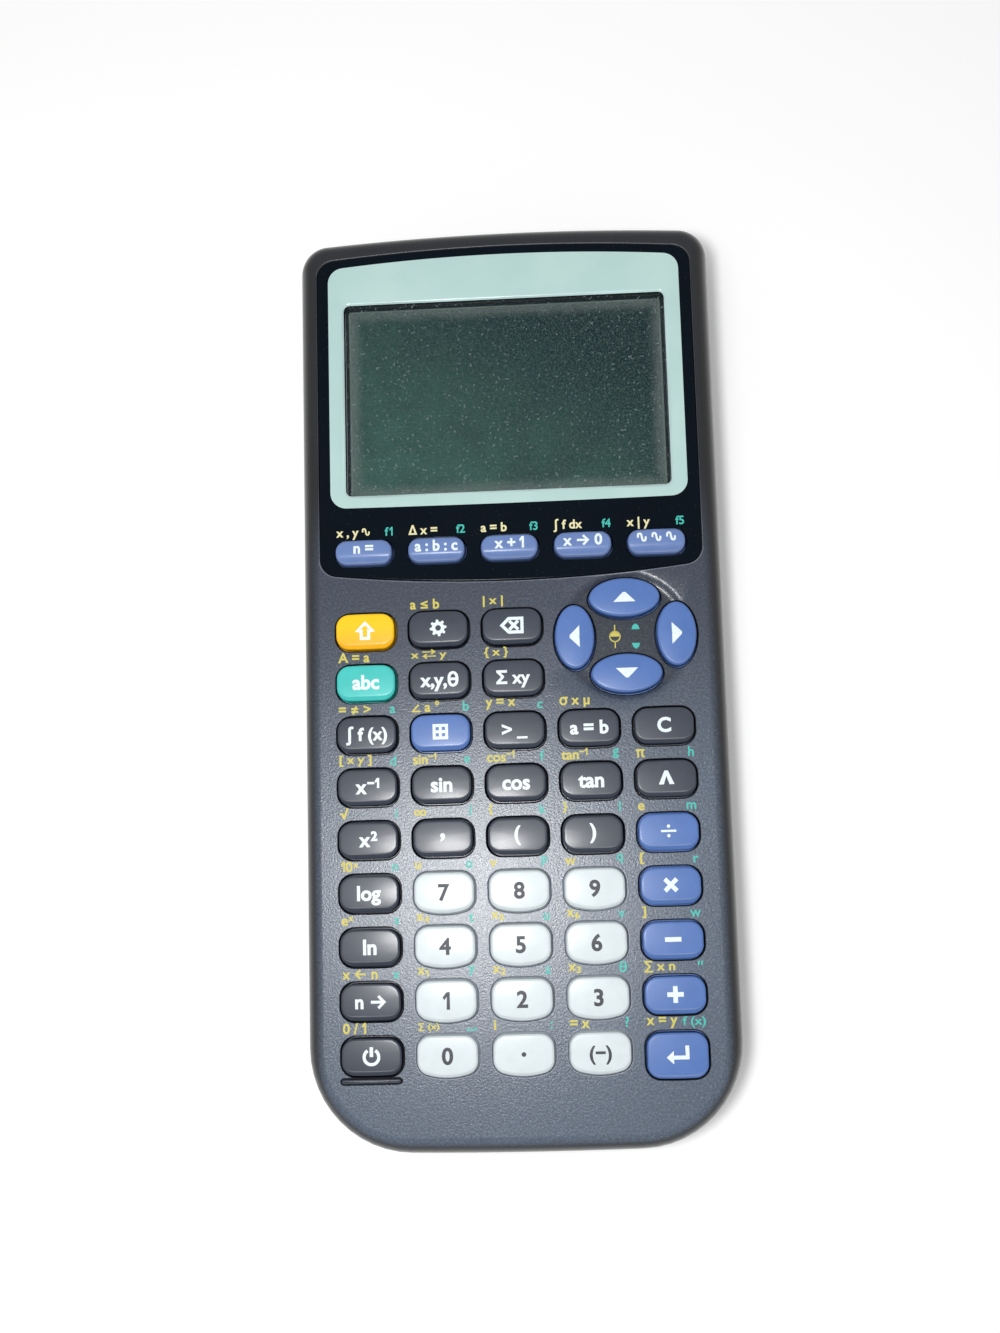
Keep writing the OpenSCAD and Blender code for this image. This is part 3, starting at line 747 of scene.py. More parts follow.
def displayPanel():
    s = displaySet
    z = s["topZ"]
    edge = along(panelOutline, [(0, panelZ), (0, z - 0.16), (0.05, z - 0.05), (0.16, z), (0.3, z)])
    holes = [keyHole(n, -s["slotLip"] - flush) for n in slotNodes]
    black = [edge, fill(panelOutline(0.3), holes + [mintOutline(0)], z)]
    black += [holeWall(lambda d, n=n: keyHole(n, d), z, panelZ, s["slotLip"]) for n in slotNodes]
    black.append(fill(panelOutline(0), [keyHole(n, 0) for n in slotNodes] + [opening(0)], panelZ, False))
    mint = sweep([lift(mintOutline(0), z), lift(mintOutline(0.05), z), lift(opening(-s["bevel"]), z)])
    out, drop = s["bevel"], s["bevelDrop"]
    bevel = along(opening, [(-out, z), (-out * 0.45, z - drop * 0.3), (0, z - drop)])
    wall = along(opening, [(0, z - drop), (0, panelZ)])
    parts = [(p, 0) for p in black] + [(mint, 1), (bevel, 2), (wall, 0)]
    mats = [glossPanel("panelBlack", shade(3, 13, 23), 0.12, 0.06), printedMint(),
            glossPanel("bevelPale", shade(186, 214, 212), 0.2, 0.3)]
    build("displayPanel", parts, mats, nodes=["display_lens"])
    low, high = s["pane"]
    pane = [along(lambda d: opening(0.06 + d), [(0, low), (0, high - 0.08), (0.08, high)]),
            fan(lift(opening(0.14), high)), fan(lift(opening(0.06), low), False)]
    build("windowPane", [(p, 0) for p in pane], [clearPane()])


def lcdModule():
    s = displaySet
    w, top, low = s["glass"]
    glass = squared(w, top, low, 0.6)
    z0, z1 = s["glassZ"]
    edge = s["rim"]
    rim = squared(w - 2 * edge, top - edge - 0.3, low + edge + 0.3, 0.5)
    raised = z1 + 0.06
    parts = [
        (along(glass, [(0, z0), (0, z1 - 0.05), (0.05, z1), (edge, z1)]), 1),
        (sweep([lift(glass(edge), z1), lift(rim(0), z1)]), 1),
        (along(rim, [(0, z1), (0.03, raised), (0.4, raised), (0.43, z1)]), 2),
        (fan(lift(rim(0.43), z1)), 0), (fan(lift(glass(0), z0), False), 1)]
    grow = s["bezelGrow"]
    bezel = squared(w + 2 * grow - 0.2, top + grow, low - grow, 1.2)
    z2 = s["bezelZ"]
    rings = [(glass(-0.05), z0), (bezel(0), z0), (bezel(0), z2 - 0.3), (bezel(0.3), z2), (glass(-0.2), z2),
             (glass(-0.05), z2 - 0.15), (glass(-0.05), z0)]
    parts.append((sweep([lift(ring, z) for ring, z in rings]), 3))
    mats = [lcdGlass(), glossPanel("lcdBorder", shade(30, 38, 42), 0.25, 0.1),
            glossPanel("lcdLine", shade(96, 112, 106), 0.35, 0.3),
            metal("bezelSteel", shade(150, 155, 160), 0.3)]
    build("lcdModule", parts, mats, nodes=["lcd_module"])


displayPanel()
lcdModule()
print("display built")


# keycaps

def keyColour(node):
    blue = ("key_apps", "key_divide", "key_multiply", "key_minus", "key_plus")
    kind = keyKind(node)
    if node == "key_second":
        return "orange"
    if node == "key_alpha":
        return "teal"
    if kind == "number":
        return "white"
    return "blue" if kind != "plain" or node in blue else "dark"


def keyCap(node):
    # outline rings from the flange up the side; nearer the edge than F a cap drops away from its crown by
    # slope times (F - d), with the corner between eased; F grows towards the user
    kind = keyKind(node)
    shape = keyShape[kind]
    centre = keyPlace(node)[0]
    ring0 = keyOutline(node, 0)
    inward = keyOutline(node, 1) - ring0
    toUser = np.clip(inward[:, 1] / np.linalg.norm(inward, axis=1), 0, 1)
    reach = shape["side"] + (shape["front"] - shape["side"]) * toUser ** 1.5
    ease = 0.045

    def capRing(share):
        d = reach * share
        flat = ring0 + inward * d[:, None]
        eased = np.logaddexp(0, (reach - d) / ease) - np.logaddexp(0, -reach * 0.7 / ease)
        z = crownHeight(node, flat[:, 0], flat[:, 1]) - np.maximum(shape["slope"] * ease * eased, 0)
        return np.column_stack([flat, z])

    low, high, out = keyShape["flangeLow"], keyShape["flangeHigh"], -keyShape["flange"]
    flange = [(out, low), (out, high - 0.1), (out + 0.1, high), (0, high)]
    if "lean" in shape:
        flange += [(-shape["lean"], high + 0.1), (-shape["lean"], faceZ - 0.4), (0, faceZ - 0.1)]
    rings = [lift(keyOutline(node, d), z) for d, z in flange]
    edge = capRing(0.0)
    edge[:, 2] -= 0.1
    shares = np.array([0.06, 0.2, 0.45, 0.65, 0.78, 0.86, 0.92, 0.97, 1.0, 1.03, 1.08, 1.14, 1.22, 1.35, 1.6])
    # pale break ring of the cap, strongest towards the user: wear and a painted highlight
    wearAndHighlight = [np.zeros(len(ring0))] * (len(rings) + 1)
    wearAndHighlight += [np.exp(-((u - 1) * reach / 0.1) ** 2) * (0.15 + 0.85 * toUser ** 2) for u in shares]
    rings += [edge] + [capRing(u) for u in shares]
    last = rings[-1][:, :2]
    for share in (0.93, 0.82, 0.68, 0.52, 0.35, 0.18, 0.0):
        flat = last * share
        rings.append(np.column_stack([flat, crownHeight(node, flat[:, 0], flat[:, 1])]))
        wearAndHighlight.append(np.zeros(len(ring0)))
    wearAndHighlight.append(np.zeros(len(ring0) + 1))
    place = (centre[0], centre[1], 0)
    parts = [(moved(sweep(rings), place), 0),
             (moved(fan(lift(keyOutline(node, out), low), False), place), 0)]
    colour = keyColour(node)
    finish = keyFinish["lilac" if kind == "function" else colour]
    build("cap_" + node[4:], parts, [finish], node, [node], 50, np.concatenate(wearAndHighlight))


for keyNode in keyNodes:
    keyCap(keyNode)
print("keycaps built")


# printed marks: flat shapes laid on the surface below them

# ink above and below its surface; in letters of size 1 the height of a capital, the share and the shift of
# raised and lowered ones, the gap between two, and the width of a blank at the end of a run
ink = {"rise": 0.025, "sink": 0.06, "capHeight": 0.7, "small": 0.62, "raised": 0.3, "lowered": -0.14,
       "gap": 0.09, "blank": 0.22}
flaggedOne = np.array([
    (0.02, 0.5), (0.17, 0.7), (0.27, 0.7), (0.27, 0), (0.18, 0), (0.18, 0.56), (0.06, 0.43)])


def slab(flat, tris, surface):
    # a flat shape as a thin sheet that follows the surface; its rim is every edge with no triangle across it
    turn = signedTurn(flat, tris)
    solid = np.abs(turn) > 1e-9
    tris, turn = tris[solid], turn[solid]
    tris[turn < 0] = tris[turn < 0][:, ::-1]
    n = len(flat)
    edges = np.vstack([tris[:, [0, 1]], tris[:, [1, 2]], tris[:, [2, 0]]])
    code, opposite = edges[:, 0] * n + edges[:, 1], edges[:, 1] * n + edges[:, 0]
    rim = edges[~np.isin(code, opposite)]
    z = surface(flat[:, 0], flat[:, 1])
    points = np.vstack([np.column_stack([flat, z + ink["rise"]]), np.column_stack([flat, z - ink["sink"]])])
    walls = np.column_stack([rim[:, 0] + n, rim[:, 1] + n, rim[:, 1], rim[:, 0]])
    return points, [tris, tris[:, ::-1] + n, walls]


def letterLoops(string):
    # the outlines of letters at size 1, one closed loop of points each
    if string == "1":
        return [flaggedOne]
    curve = bpy.data.curves.new("letters", "FONT")
    curve.body = string
    curve.fill_mode = "NONE"
    curve.resolution_u = 4
    holder = linked("letters", curve)
    mesh = holder.evaluated_get(bpy.context.evaluated_depsgraph_get()).to_mesh()
    points = np.zeros(len(mesh.vertices) * 3, np.float32)
    edges = np.zeros(len(mesh.edges) * 2, np.int32)
    mesh.vertices.foreach_get("co", points)
    mesh.edges.foreach_get("vertices", edges)
    edges = np.sort(edges.reshape(-1, 2), 1)
    closing = edges[edges[:, 1] - edges[:, 0] > 1]
    points = points.reshape(-1, 3)[:, :2].astype(float)
    bpy.data.objects.remove(holder)
    bpy.data.curves.remove(curve)
    return [points[first:last + 1] for first, last in closing[np.argsort(closing[:, 0])]]


def formulaLoops(string):
    # letters side by side; an up or down arrow starts and ends a raised or lowered run
    loops, cursor, size, rise = [], 0.0, 1.0, 0.0
    for run in re.findall("[↑↓]|1|[^↑↓1]+", string):
        if run in "↑↓":
            away = ink["raised"] if run == "↑" else ink["lowered"]
            size, rise = (1.0, 0.0) if size < 1 else (ink["small"], away)
            continue
        made = [loop for loop in letterLoops(run) if len(loop) > 2]
        start = cursor if run[0] == " " else cursor - min([loop[:, 0].min() for loop in made]) * size
        loops += [loop * size + [start, rise] for loop in made]
        blanks = len(run) - len(run.rstrip())
        cursor = max([loop[:, 0].max() for loop in loops]) + ink["gap"] + ink["blank"] * blanks * size
    return loops


def turns(points, loops):
    # winding number: upward crossings to the right of a point less the downward ones
    total = np.zeros(len(points), int)
    for ring in loops:
        x, y, x0, y0, x1, y1 = against(points, ring)
        left = (x1 - x0) * (y - y0) - (x - x0) * (y1 - y0)
        total += ((y0 <= y) & (y1 > y) & (left > 0)).sum(1) - ((y0 > y) & (y1 <= y) & (left < 0)).sum(1)
    return total


def textShape(string, weight):
    # outlines moved out by weight, then filled wherever they wind round a place; trial is how far to each
    # side of a line the ink is looked for
    loops = formulaLoops(string)
    grown, trial = [], 0.004
    for loop in loops:
        step = np.roll(loop, -1, 0) - loop
        step /= np.maximum(np.linalg.norm(step, axis=1), 1e-9)[:, None]
        out = np.column_stack([step[:, 1], -step[:, 0]])
        mid = (loop + np.roll(loop, -1, 0)) / 2
        inkRight, inkLeft = turns(mid + out * trial, loops) != 0, turns(mid - out * trial, loops) != 0
        out *= 1 if (inkLeft & ~inkRight).sum() >= (inkRight & ~inkLeft).sum() else -1
        both = out + np.roll(out, 1, 0)
        both /= np.maximum((both ** 2).sum(1) / 2, 0.6)[:, None]
        grown.append(loop + weight * both)
    made = delaunay_2d_cdt(np.vstack(grown).tolist(), loopEdges(grown), [], 0, 1e-6)
    flat, tris = np.array(made[0]), np.array([f for f in made[2] if len(f) == 3])
    return flat, tris[turns(flat[tris].mean(1), grown) != 0]


def words(string, at, height, surface, align, widest, weight, middle=None):
    # text whose capitals are height tall; at is its baseline, or the middle of its capitals or shape
    flat, tris = textShape(string, weight)
    flat = flat * height / ink["capHeight"]
    low, high = flat.min(0), flat.max(0)
    wide = high[0] - low[0]
    if wide > widest:
        flat[:, 0] *= widest / wide
        low, high = flat.min(0), flat.max(0)
    if middle == "above":    # a tall mark is made lower, and no part of it hangs below its baseline
        flat[:, 1] *= min(1.0, 1.15 * height / (high[1] - low[1]))
        low, high = flat.min(0), flat.max(0)
    start = {"left": low[0], "centre": (low[0] + high[0]) / 2, "right": high[0]}[align]
    drop = {None: 0.0, "caps": height / 2, "shape": (low[1] + high[1]) / 2, "above": min(low[1], 0.0)}[middle]
    return slab(flat - [start, drop] + np.array(at), tris, surface)


def stroke(line, width, surface, closed=False):
    # a line of even width: each point moves half the width to each side, square to the line
    line = np.array(line, float)
    ahead = np.roll(line, -1, 0) - line
    behind = line - np.roll(line, 1, 0)
    if not closed:
        ahead[-1], behind[0] = behind[-1], ahead[0]
    unit = lambda v: v / np.linalg.norm(v, axis=1)[:, None]
    tangent = unit(unit(ahead) + unit(behind))
    side = np.column_stack([-tangent[:, 1], tangent[:, 0]])
    lean = np.maximum((side * np.column_stack([-unit(ahead)[:, 1], unit(ahead)[:, 0]])).sum(1), 0.5)
    off = side * (width / 2 / lean)[:, None]
    n = len(line)
    j = np.arange(n if closed else n - 1)
    k = (j + 1) % n
    tris = np.vstack([np.column_stack([j + n, k + n, k]), np.column_stack([j + n, k, j])])
    return slab(np.vstack([line + off, line - off]), tris, surface)


def patch(ring, surface):
    # a closed outline filled from its middle
    flat, groups = fan(np.array(ring, float))
    return slab(flat, groups[0], surface)


def onFace(x, y):
    return faceZ - dishDrop(np.column_stack([x, y, np.full(len(x), faceZ)]))


def onPanel(x, y):
    return np.full(len(x), displaySet["topZ"])


def onKey(node):
    centre = keyPlace(node)[0]
    return lambda x, y: crownHeight(node, x - centre[0], y - centre[1])


# how the middle of a legend is found, its height, and the legends by key
legendRows = [
    ("caps", 2.1, {"function_1": "n =", "function_2": "a : b : c", "function_3": "x + 1",
                   "function_4": "x → 0", "function_5": "∿ ∿ ∿"}),
    ("caps", 2.4, {"statistics": "Σ xy", "math": "∫ f (x)"}),
    ("caps", 2.5, {"program": "> _", "vars": "a = b", "store": "n →", "negative": "(−)"}),
    ("caps", 2.6, {"variable": "x,y,θ"}),
    ("caps", 2.7, {"alpha": "abc", "clear": "C", "reciprocal": "x↑−1↑", "square": "x↑2↑", "log": "log"}),
    ("caps", 2.75, {"sin": "sin", "cos": "cos", "tan": "tan", "ln": "ln"}),
    ("shape", 2.7, {"paren_open": "(", "paren_close": ")", "on": "⏻"}),
    ("shape", 2.9, {"delete": "⌫", "apps": "⊞"}),
    ("shape", 3.0, {"second": "⇧"}),
    ("shape", 3.4, {"comma": ",", "enter": "↵", "point": "."}),
    ("shape", 3.8, {"multiply": "×"}),
    ("shape", 4.0, {"power": "^", "minus": "−", "plus": "+"})]
legends = {key: (text, height, middle) for middle, height, row in legendRows for key, text in row.items()}

# key: mark at its upper left in yellow, letter at its upper right in teal
overKeys = {
    "mode": ("a ≤ b", ""), "delete": ("| x |", ""), "alpha": ("A = a", ""), "variable": ("x ⇄ y", ""),
    "statistics": ("{ x }", ""), "math": ("= ≠ >", "a"), "apps": ("∠ a °", "b"), "program": ("y = x", "c"),
    "vars": ("σ x µ", ""), "reciprocal": ("[ x y ]", "d"), "sin": ("sin↑−1↑", "e"), "cos": ("cos↑−1↑", "f"),
    "tan": ("tan↑−1↑", "g"), "power": ("π", "h"), "square": ("√", "i"), "comma": ("∞", "j"),
    "paren_open": ("{", "k"), "paren_close": ("}", "l"), "divide": ("e", "m"), "log": ("10↑x↑", "n"),
    "7": ("u", "o"), "8": ("v", "p"), "9": ("w", "q"), "multiply": ("[", "r"), "ln": ("e↑x↑", "s"),
    "4": ("x↓4↓", "t"), "5": ("x↓5↓", "u"), "6": ("x↓6↓", "v"), "minus": ("]", "w"), "store": ("x ← n", "x"),
    "1": ("x↓1↓", "y"), "2": ("x↓2↓", "z"), "3": ("x↓3↓", "θ"), "plus": ("∑ x n", "″"), "on": ("0 / 1", ""),
    "0": ("∑ (x)", "⎵"), "point": ("i", ":"), "negative": ("= x", "?"), "enter": ("x = y", "f (x)")}
overPanel = {"function_1": ("x , y ∿", "f1"), "function_2": ("Δ x =", "f2"), "function_3": ("a = b", "f3"),
             "function_4": ("∫ f dx", "f4"), "function_5": ("x | y", "f5")}


def gear(at, height, surface):
    # eight-toothed wheel: the radius steps between root and tip as the angle goes round, about a round hole
    a = np.radians(np.arange(0, 360, 7.5))
    r = np.where(np.arange(48) % 6 < 3, 1.0, 0.74) * height / 2
    rim = np.column_stack([r * np.cos(a), r * np.sin(a)]) + np.array(at)
    flat, groups = fill(rim, [circle(at[0], at[1], height * 0.17, 24)], 0.0)
    return slab(flat[:, :2], groups[0], surface)


def divideSign(at, wide, surface):
    # a bar between two dots
    dots = [circle(at[0], at[1] + side * wide * 0.31, wide * 0.11, 20) for side in (-1, 1)]
    bar = [(at[0] - wide / 2, at[1]), (at[0], at[1]), (at[0] + wide / 2, at[1])]
    return [stroke(bar, wide * 0.14, surface)] + [patch(dot, surface) for dot in dots]


def keyLegends():
    for node in keyNodes:
        name = node[4:]
        centre, (w, _) = keyPlace(node)
        surface = onKey(node)
        if keyKind(node) == "arrow":
            continue
        text, height, middle = legends.get(name, (name, 3.0, "caps"))
        number = keyKind(node) == "number"
        at = centre + np.array([0, 0.8 if keyKind(node) == "function" else 0.15])
        if name == "mode":
            parts = [gear(at, 3.3, surface)]
        elif name == "divide":
            parts = divideSign(at, 2.9, surface)
        else:
            weight = 0.03 if number else 0.034
            parts = [words(text, at, height, surface, "centre", w - 2.6, weight, middle)]
        build("legend_" + name, [(p, 0) for p in parts], [inkDark if number else inkWhite], node)


def arrowMarks():
    # a triangle on each arrow key, pointing away from the middle of the pad
    tip = np.array([(-2.15, -0.95), (2.15, -0.95), (0.25, 0.95), (-0.25, 0.95)])
    for i, name in enumerate(("up", "left", "down", "right")):
        node = "key_arrow_" + name
        a = i * pi / 2
        ring = tip @ np.array([[np.cos(a), np.sin(a)], [-np.sin(a), np.cos(a)]])
        build("legend_arrow_" + name, [(patch(ring + keyPlace(node)[0], onKey(node)), 0)], [inkWhite], node)


# how far marks stand above their key; then for the left and the right mark the inset from the key's side,
# the height, the greatest width and the weight; the left mark over the zero has less room
markRows = {
    "face": {"above": 0.75, "left": (0.1, 1.9, 7.6, 0.028), "right": (0.15, 1.85, 5, 0.02), "overZero": 1.4},
    "panel": {"above": 1.15, "left": (-0.1, 1.75, 7.4, 0.028), "right": (-0.1, 1.65, 3.4, 0.02)}}


def marksOver(table, row, surface, middle=None):
    # the marks at the upper left of each key, and those at its upper right
    made = {"left": [], "right": []}
    for name, texts in table.items():
        centre, (w, h) = keyPlace("key_" + name)
        for side, text in zip(made, texts):
            inset, tall, widest, weight = row[side]
            if name == "0" and side == "left":
                tall = row["overZero"]
            out = (w / 2 - inset) * (-1 if side == "left" else 1)
            at = (centre[0] + out, centre[1] + h / 2 + row["above"])
            if text:
                made[side].append(words(text, at, tall, surface, side, widest, weight, middle))
    return made["left"], made["right"]


def faceMarks():
    yellow, teal = marksOver(overKeys, markRows["face"], onFace, "above")
    cream, panelTeal = marksOver(overPanel, markRows["panel"], onPanel)
    # contrast sign in the middle of the pad, and two small marks beside it
    x, y = 20.0, 6.3
    yellow.append(stroke(circle(x, y, 1.0, 32), 0.22, onFace, True))
    yellow.append(patch(arcPoints(x, y, 0.95, 0, 180, 16), onFace))
    yellow += [stroke([(x, y + side * 1.05), (x, y + side * 2.3)], 0.22, onFace) for side in (1, -1)]
    wedge = np.array([(-0.8, -0.4), (0.8, -0.4), (0.55, 0.35), (0.0, 0.75), (-0.55, 0.35)])
    for side in (1, -1):
        teal.append(patch((wedge * [1, side] + [24.05, 6.25 + side * 1.75])[::side], onFace))
    groups = {"Yellow": (yellow, inkYellow), "Teal": (teal, inkTeal), "Cream": (cream, inkCream),
              "TealPanel": (panelTeal, inkTeal)}
    for name, (marks, finish) in groups.items():
        build("marks" + name, [(mark, 0) for mark in marks], [finish])


keyLegends()
arrowMarks()
faceMarks()
print("marks laid")


# batteries, contacts and jack ring

cellSet = {
    "radius": 5.25, "length": 44.5, "pitch": 11.0, "axisZ": 8.35, "bay": (26.505, 77.505), "plate": 0.4,
    "plateWidth": 7.5, "springLength": 5.7, "wire": 0.32, "turns": 5.5, "ringFrom": -91.15, "ringDepth": 2.4}
bayMiddle = sum(cellSet["bay"]) / 2
bayReach = (cellSet["bay"][1] - cellSet["bay"][0]) / 2
turnY = [(1, 0, 0), (0, 0, 1), (0, -1, 0)]     # takes the Z axis to +Y
turnBack = [(1, 0, 0), (0, 0, -1), (0, 1, 0)]  # takes the Z axis to -Y


def sleeveFinish(name, copperUp):
    # plastic film round a cell: dark body, copper-coloured shoulder at the button end, pale ring between
    f = Finish(name, Specular_IOR_Level=0.5, Coat_Weight=0.4, Coat_Roughness=0.1)
    crease = f.noise(1.6, 3, 0.6, (1, 0.25, 1))
    away = (f.axis("Y") - bayMiddle) * (1.0 if copperUp else -1.0)
    copper = f.band(away, 8.0, 8.3)
    stripe = f.band(away, 7.2, 7.3) * (1 - copper)
    dark = f.mix(f.band(crease, 0.3, 0.7), shade(26, 28, 32), shade(36, 39, 44))
    tone = f.mix(stripe, f.mix(copper, dark, shade(176, 112, 66)), shade(214, 214, 208))
    f.set("Metallic", copper * 0.85)
    return f.done(tone, 0.24 + 0.14 * crease, crease, 0.04, 0.4)


def makeCells():
    # one lathed profile for each cell: button, insulating ring, sleeve with folded ends
    r, length = cellSet["radius"], cellSet["length"]
    button = [(0, 0), (1.7, 0), (1.9, 0.12), (1.9, 0.75), (2.0, 0.85), (4.3, 0.95), (4.6, 1.2), (4.6, 1.6),
              (0, 1.7)]
    film = [(4.4, 1.3), (4.9, 1.15), (r - 0.06, 1.5), (r, 2.0), (r, length - 0.9), (r - 0.08, length - 0.5),
            (r - 0.5, length - 0.2), (r - 0.7, length - 0.25), (r - 0.75, length - 0.4), (3.6, 1.6),
            (4.4, 1.3)]
    base = [(0, length - 0.45), (r - 0.6, length - 0.42), (r - 0.8, length - 0.1), (r - 1.2, length),
            (1.6, length), (1.4, length - 0.05), (0, length - 0.05)]
    reach = bayReach - cellSet["plate"]
    parts = []
    for i in range(4):
        up = i % 2 == 0
        turn = turnBack if up else turnY
        at = ((i - 1.5) * cellSet["pitch"], bayMiddle + (reach if up else -reach), cellSet["axisZ"])
        for profile, number in ((button, 0), (film, 1 if up else 2), (base, 0)):
            parts.append((moved(lathe(profile, 48), at, turn), number))
    backup = [(0, 0), (7.6, 0), (7.9, 0.2), (8, 0.6), (8, 1.1), (7.9, 1.35), (7.2, 1.55), (0, 1.58)]
    parts.append((moved(lathe(backup, 48), (-14.36, -1.385, 13.0)), 0))
    mats = [metal("cellSteel", shade(196, 198, 200), 0.28), sleeveFinish("sleeveUp", True),
            sleeveFinish("sleeveDown", False)]
    build("batteryCells", parts, mats, nodes=["batteries"])


def makeContacts():
    # a plate with rounded corners at each end of each cell, and a tapered coil where the flat end rests
    w, t = cellSet["plateWidth"], cellSet["plate"]
    outline = squared(w, w / 2, -w / 2, 1.2, 6)
    leaf = [along(outline, [(0, 0.02), (0, t - 0.1), (0.1, t)]), fan(lift(outline(0), 0.02), False),
            fan(lift(outline(0.1), t))]
    parts = []
    for i in range(4):
        for side in (-1, 1):
            turn = turnY if side < 0 else turnBack
            at = ((i - 1.5) * cellSet["pitch"], bayMiddle + side * bayReach, cellSet["axisZ"])
            parts += [moved(piece, at, turn) for piece in leaf]
            if (i % 2 == 0) == (side < 0):
                s = np.linspace(0, 1, 150)
                a = 2 * pi * cellSet["turns"] * s
                r = 3.35 - 1.15 * s
                rise = t + cellSet["wire"] + s * (cellSet["springLength"] - 2 * cellSet["wire"])
                coil = np.column_stack([r * np.cos(a), r * np.sin(a), rise])
                parts.append(moved(tube(coil, cellSet["wire"], 8), at, turn))
    build("contactSet", [(p, 0) for p in parts], [metal("contactNickel", shade(190, 190, 186), 0.26)],
          nodes=["battery_contacts"])


def jackRing():
    # plated sleeve inside the nose of the link jack, with a rolled mouth
    depth = cellSet["ringDepth"]
    loop = [(1.29, 0.1), (1.36, 0), (1.95, 0), (2.1, 0.06), (2.1, 0.14), (1.4, 0.2), (1.4, depth),
            (1.29, depth), (1.29, 0.1)]
    ring = flipped(moved(lathe(loop[::-1], 48), (0, cellSet["ringFrom"], partingZ), turnY))
    build("jackRing", [(ring, 0)], [metal("jackNickel", shade(206, 206, 202), 0.2)])


makeCells()
makeContacts()
jackRing()
print("batteries and contacts built")


# carried-over parts: board, membrane, door and screws keep their shape and get their finish

def boardFinish():
    # green mask with darker traces on the board itself, black packages and jack below it
    f = Finish("boardFinish", Specular_IOR_Level=0.5)
    z = f.axis("Z")
    isBoard = f.band(z, 14.5, 14.56)
    trace = f.band(f.noise(1.1, 0, 0.5, (1, 0.12, 1)), 0.5, 0.53)
    weave = f.noise(0.4, 2, 0.5)
    green = f.mix(trace, shade(28, 92, 56), shade(40, 116, 70))
    tone = f.mix(isBoard, f.mix(weave, shade(18, 19, 21), shade(34, 35, 38)), green)
    return f.done(tone, 0.5 - 0.15 * isBoard + 0.1 * weave, trace + weave * 0.4, 0.03, 0.4)


def rubberFinish():
    # dull moulded rubber with a little dust
    f = Finish("domeRubber", Specular_IOR_Level=0.3)
    dust = f.noise(0.9, 3, 0.6)
    tone = f.mix(f.band(dust, 0.3, 0.7), shade(172, 168, 156), shade(190, 186, 174))
    return f.done(tone, 0.6 + 0.15 * dust, dust, 0.03, 0.4)


def carry(node, material, bevel=0.0):
    # a CAD node keeps its mesh; welding and a small bevel only soften its edges
    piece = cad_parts[node]
    piece.data.materials.clear()
    piece.data.materials.append(material)
    if bevel:
        weld = piece.modifiers.new("weld", "WELD")
        weld.merge_threshold = 1e-6
        soft = piece.modifiers.new("edges", "BEVEL")
        soft.width = bevel * mm
        soft.segments = 2
        soft.limit_method = "ANGLE"
        soft.angle_limit = np.radians(40)
        soft.use_clamp_overlap = True


carry("circuit_board", boardFinish())
carry("keypad_membrane", rubberFinish())
carry("battery_door", casePlastic("doorPlastic", shade(50, 55, 68), 0.55), 0.12)
carry("case_screws", metal("screwSteel", shade(120, 122, 126), 0.34), 0.08)
print("carried parts finished")


# floor, light and camera

stageSet = {
    "floor": shade(246, 246, 246), "size": 3.0, "worldLight": 0.27,
    # lamp: place, size, power, and whether it shows in gloss, as the white surroundings do already
    "lamps": {
        "flash": ((-0.034, -0.041, 0.36), 0.05, 0.68, True),
        "softbox": ((-0.14, -0.10, 0.76), 0.34, 1.5, False),
        "under": ((0.08, -0.12, -0.65), 0.4, 2.0, False)},
    "aim": (0, 0, 0.02),
    "eye": (0.013054, -0.040252, 0.318521), "right": (0.99804951, -0.02726935, -0.05615658),
    "up": (0.03469508, 0.99012549, 0.13582254), "ahead": (-0.05189827, 0.13750597, -0.98914037),
    "lens": 41.698}


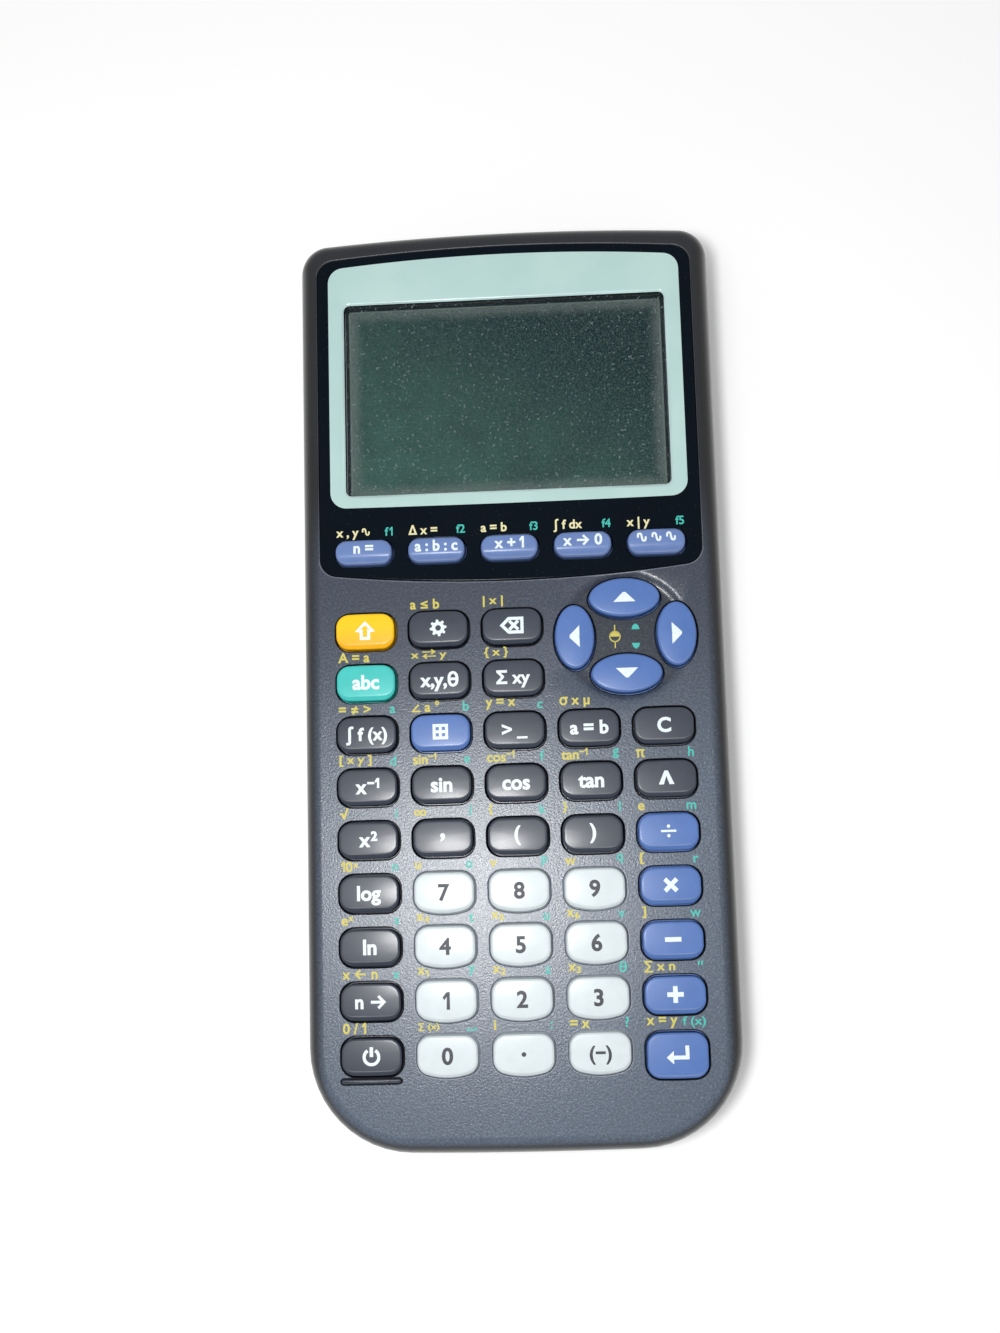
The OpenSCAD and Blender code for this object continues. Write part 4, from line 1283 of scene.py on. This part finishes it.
def makeFloor():
    # floor that keeps the shadow; seen from below it lets the view through
    f = Finish("floorFinish", Specular_IOR_Level=0.1, Roughness=0.8)
    f.set("Base Color", f.mix(f.noise(60, 2), stageSet["floor"], scaled(stageSet["floor"], 0.985)))
    ray = "ShaderNodeLightPath"
    seen = f.node(ray) + f.node(ray, out=3) + f.node(ray, out=6)
    away = f.node("ShaderNodeVectorMath", {"operation": "LENGTH"}, {0: f.place()}, out=1)
    # the glow grows with the distance from the middle, towards its full 0.8
    spread = 1 - 1 / (1 + (away * 1.6) ** 2.0)
    glow = f.node("ShaderNodeEmission", None, {"Color": seen * (0.2 + 0.6 * spread)})
    lit = f.node("ShaderNodeAddShader", None, {0: Flow(f, f.shader.outputs[0]), 1: glow})
    clear = f.node("ShaderNodeBsdfTransparent")
    under = f.node("ShaderNodeNewGeometry", out=6)
    both = f.node("ShaderNodeMixShader", None, {0: under, 1: lit, 2: clear})
    f.tree.links.new(both.socket, f.tree.nodes["Material Output"].inputs["Surface"])
    side = stageSet["size"]
    mesh = bpy.data.meshes.new("floor")
    corners = [(-side, -side, 0), (side, -side, 0), (side, side, 0), (-side, side, 0)]
    mesh.from_pydata(corners, [], [(0, 1, 2, 3)])
    mesh.materials.append(f.material)
    floor = linked("floor", mesh)
    floor.visible_diffuse = False
    floor.visible_shadow = False


def makeWorld():
    world = bpy.data.worlds.new("studio")
    bpy.context.scene.world = world
    world.use_nodes = True
    tree = world.node_tree
    back = tree.nodes["Background"]
    back.inputs["Color"].default_value = (1, 1, 1, 1)
    path = tree.nodes.new("ShaderNodeLightPath")
    plain = tree.nodes.new("ShaderNodeMapRange")
    tree.links.new(path.outputs["Is Diffuse Ray"], plain.inputs[0])
    plain.inputs[3].default_value = 1.0
    plain.inputs[4].default_value = stageSet["worldLight"]
    tree.links.new(plain.outputs[0], back.inputs["Strength"])


def areaLight(name, at, size, power, glossy):
    lamp = bpy.data.lights.new(name, "AREA")
    lamp.size = size
    lamp.energy = power
    lamp.shape = "DISK"
    made = linked(name, lamp)
    made.location = at
    made.visible_glossy = glossy
    toward = (np.array(stageSet["aim"]) - np.array(at)).tolist()
    made.rotation_mode = "QUATERNION"
    made.rotation_quaternion = Vector(toward).to_track_quat("-Z", "Y")


def makeCamera():
    data = bpy.data.cameras.new("camera")
    data.lens = stageSet["lens"]
    data.sensor_width = 36
    data.clip_start = 0.01
    data.clip_end = 20
    made = linked("camera", data)
    r, u, f, e = (stageSet[k] for k in ("right", "up", "ahead", "eye"))
    made.matrix_world = Matrix([(r[i], u[i], -f[i], e[i]) for i in range(3)] + [(0, 0, 0, 1)])
    bpy.context.scene.camera = made


makeFloor()
makeWorld()
for lampName, lampSet in stageSet["lamps"].items():
    areaLight(lampName, *lampSet)
makeCamera()
bpy.context.scene.view_settings.view_transform = "Standard"

print("stage ready")
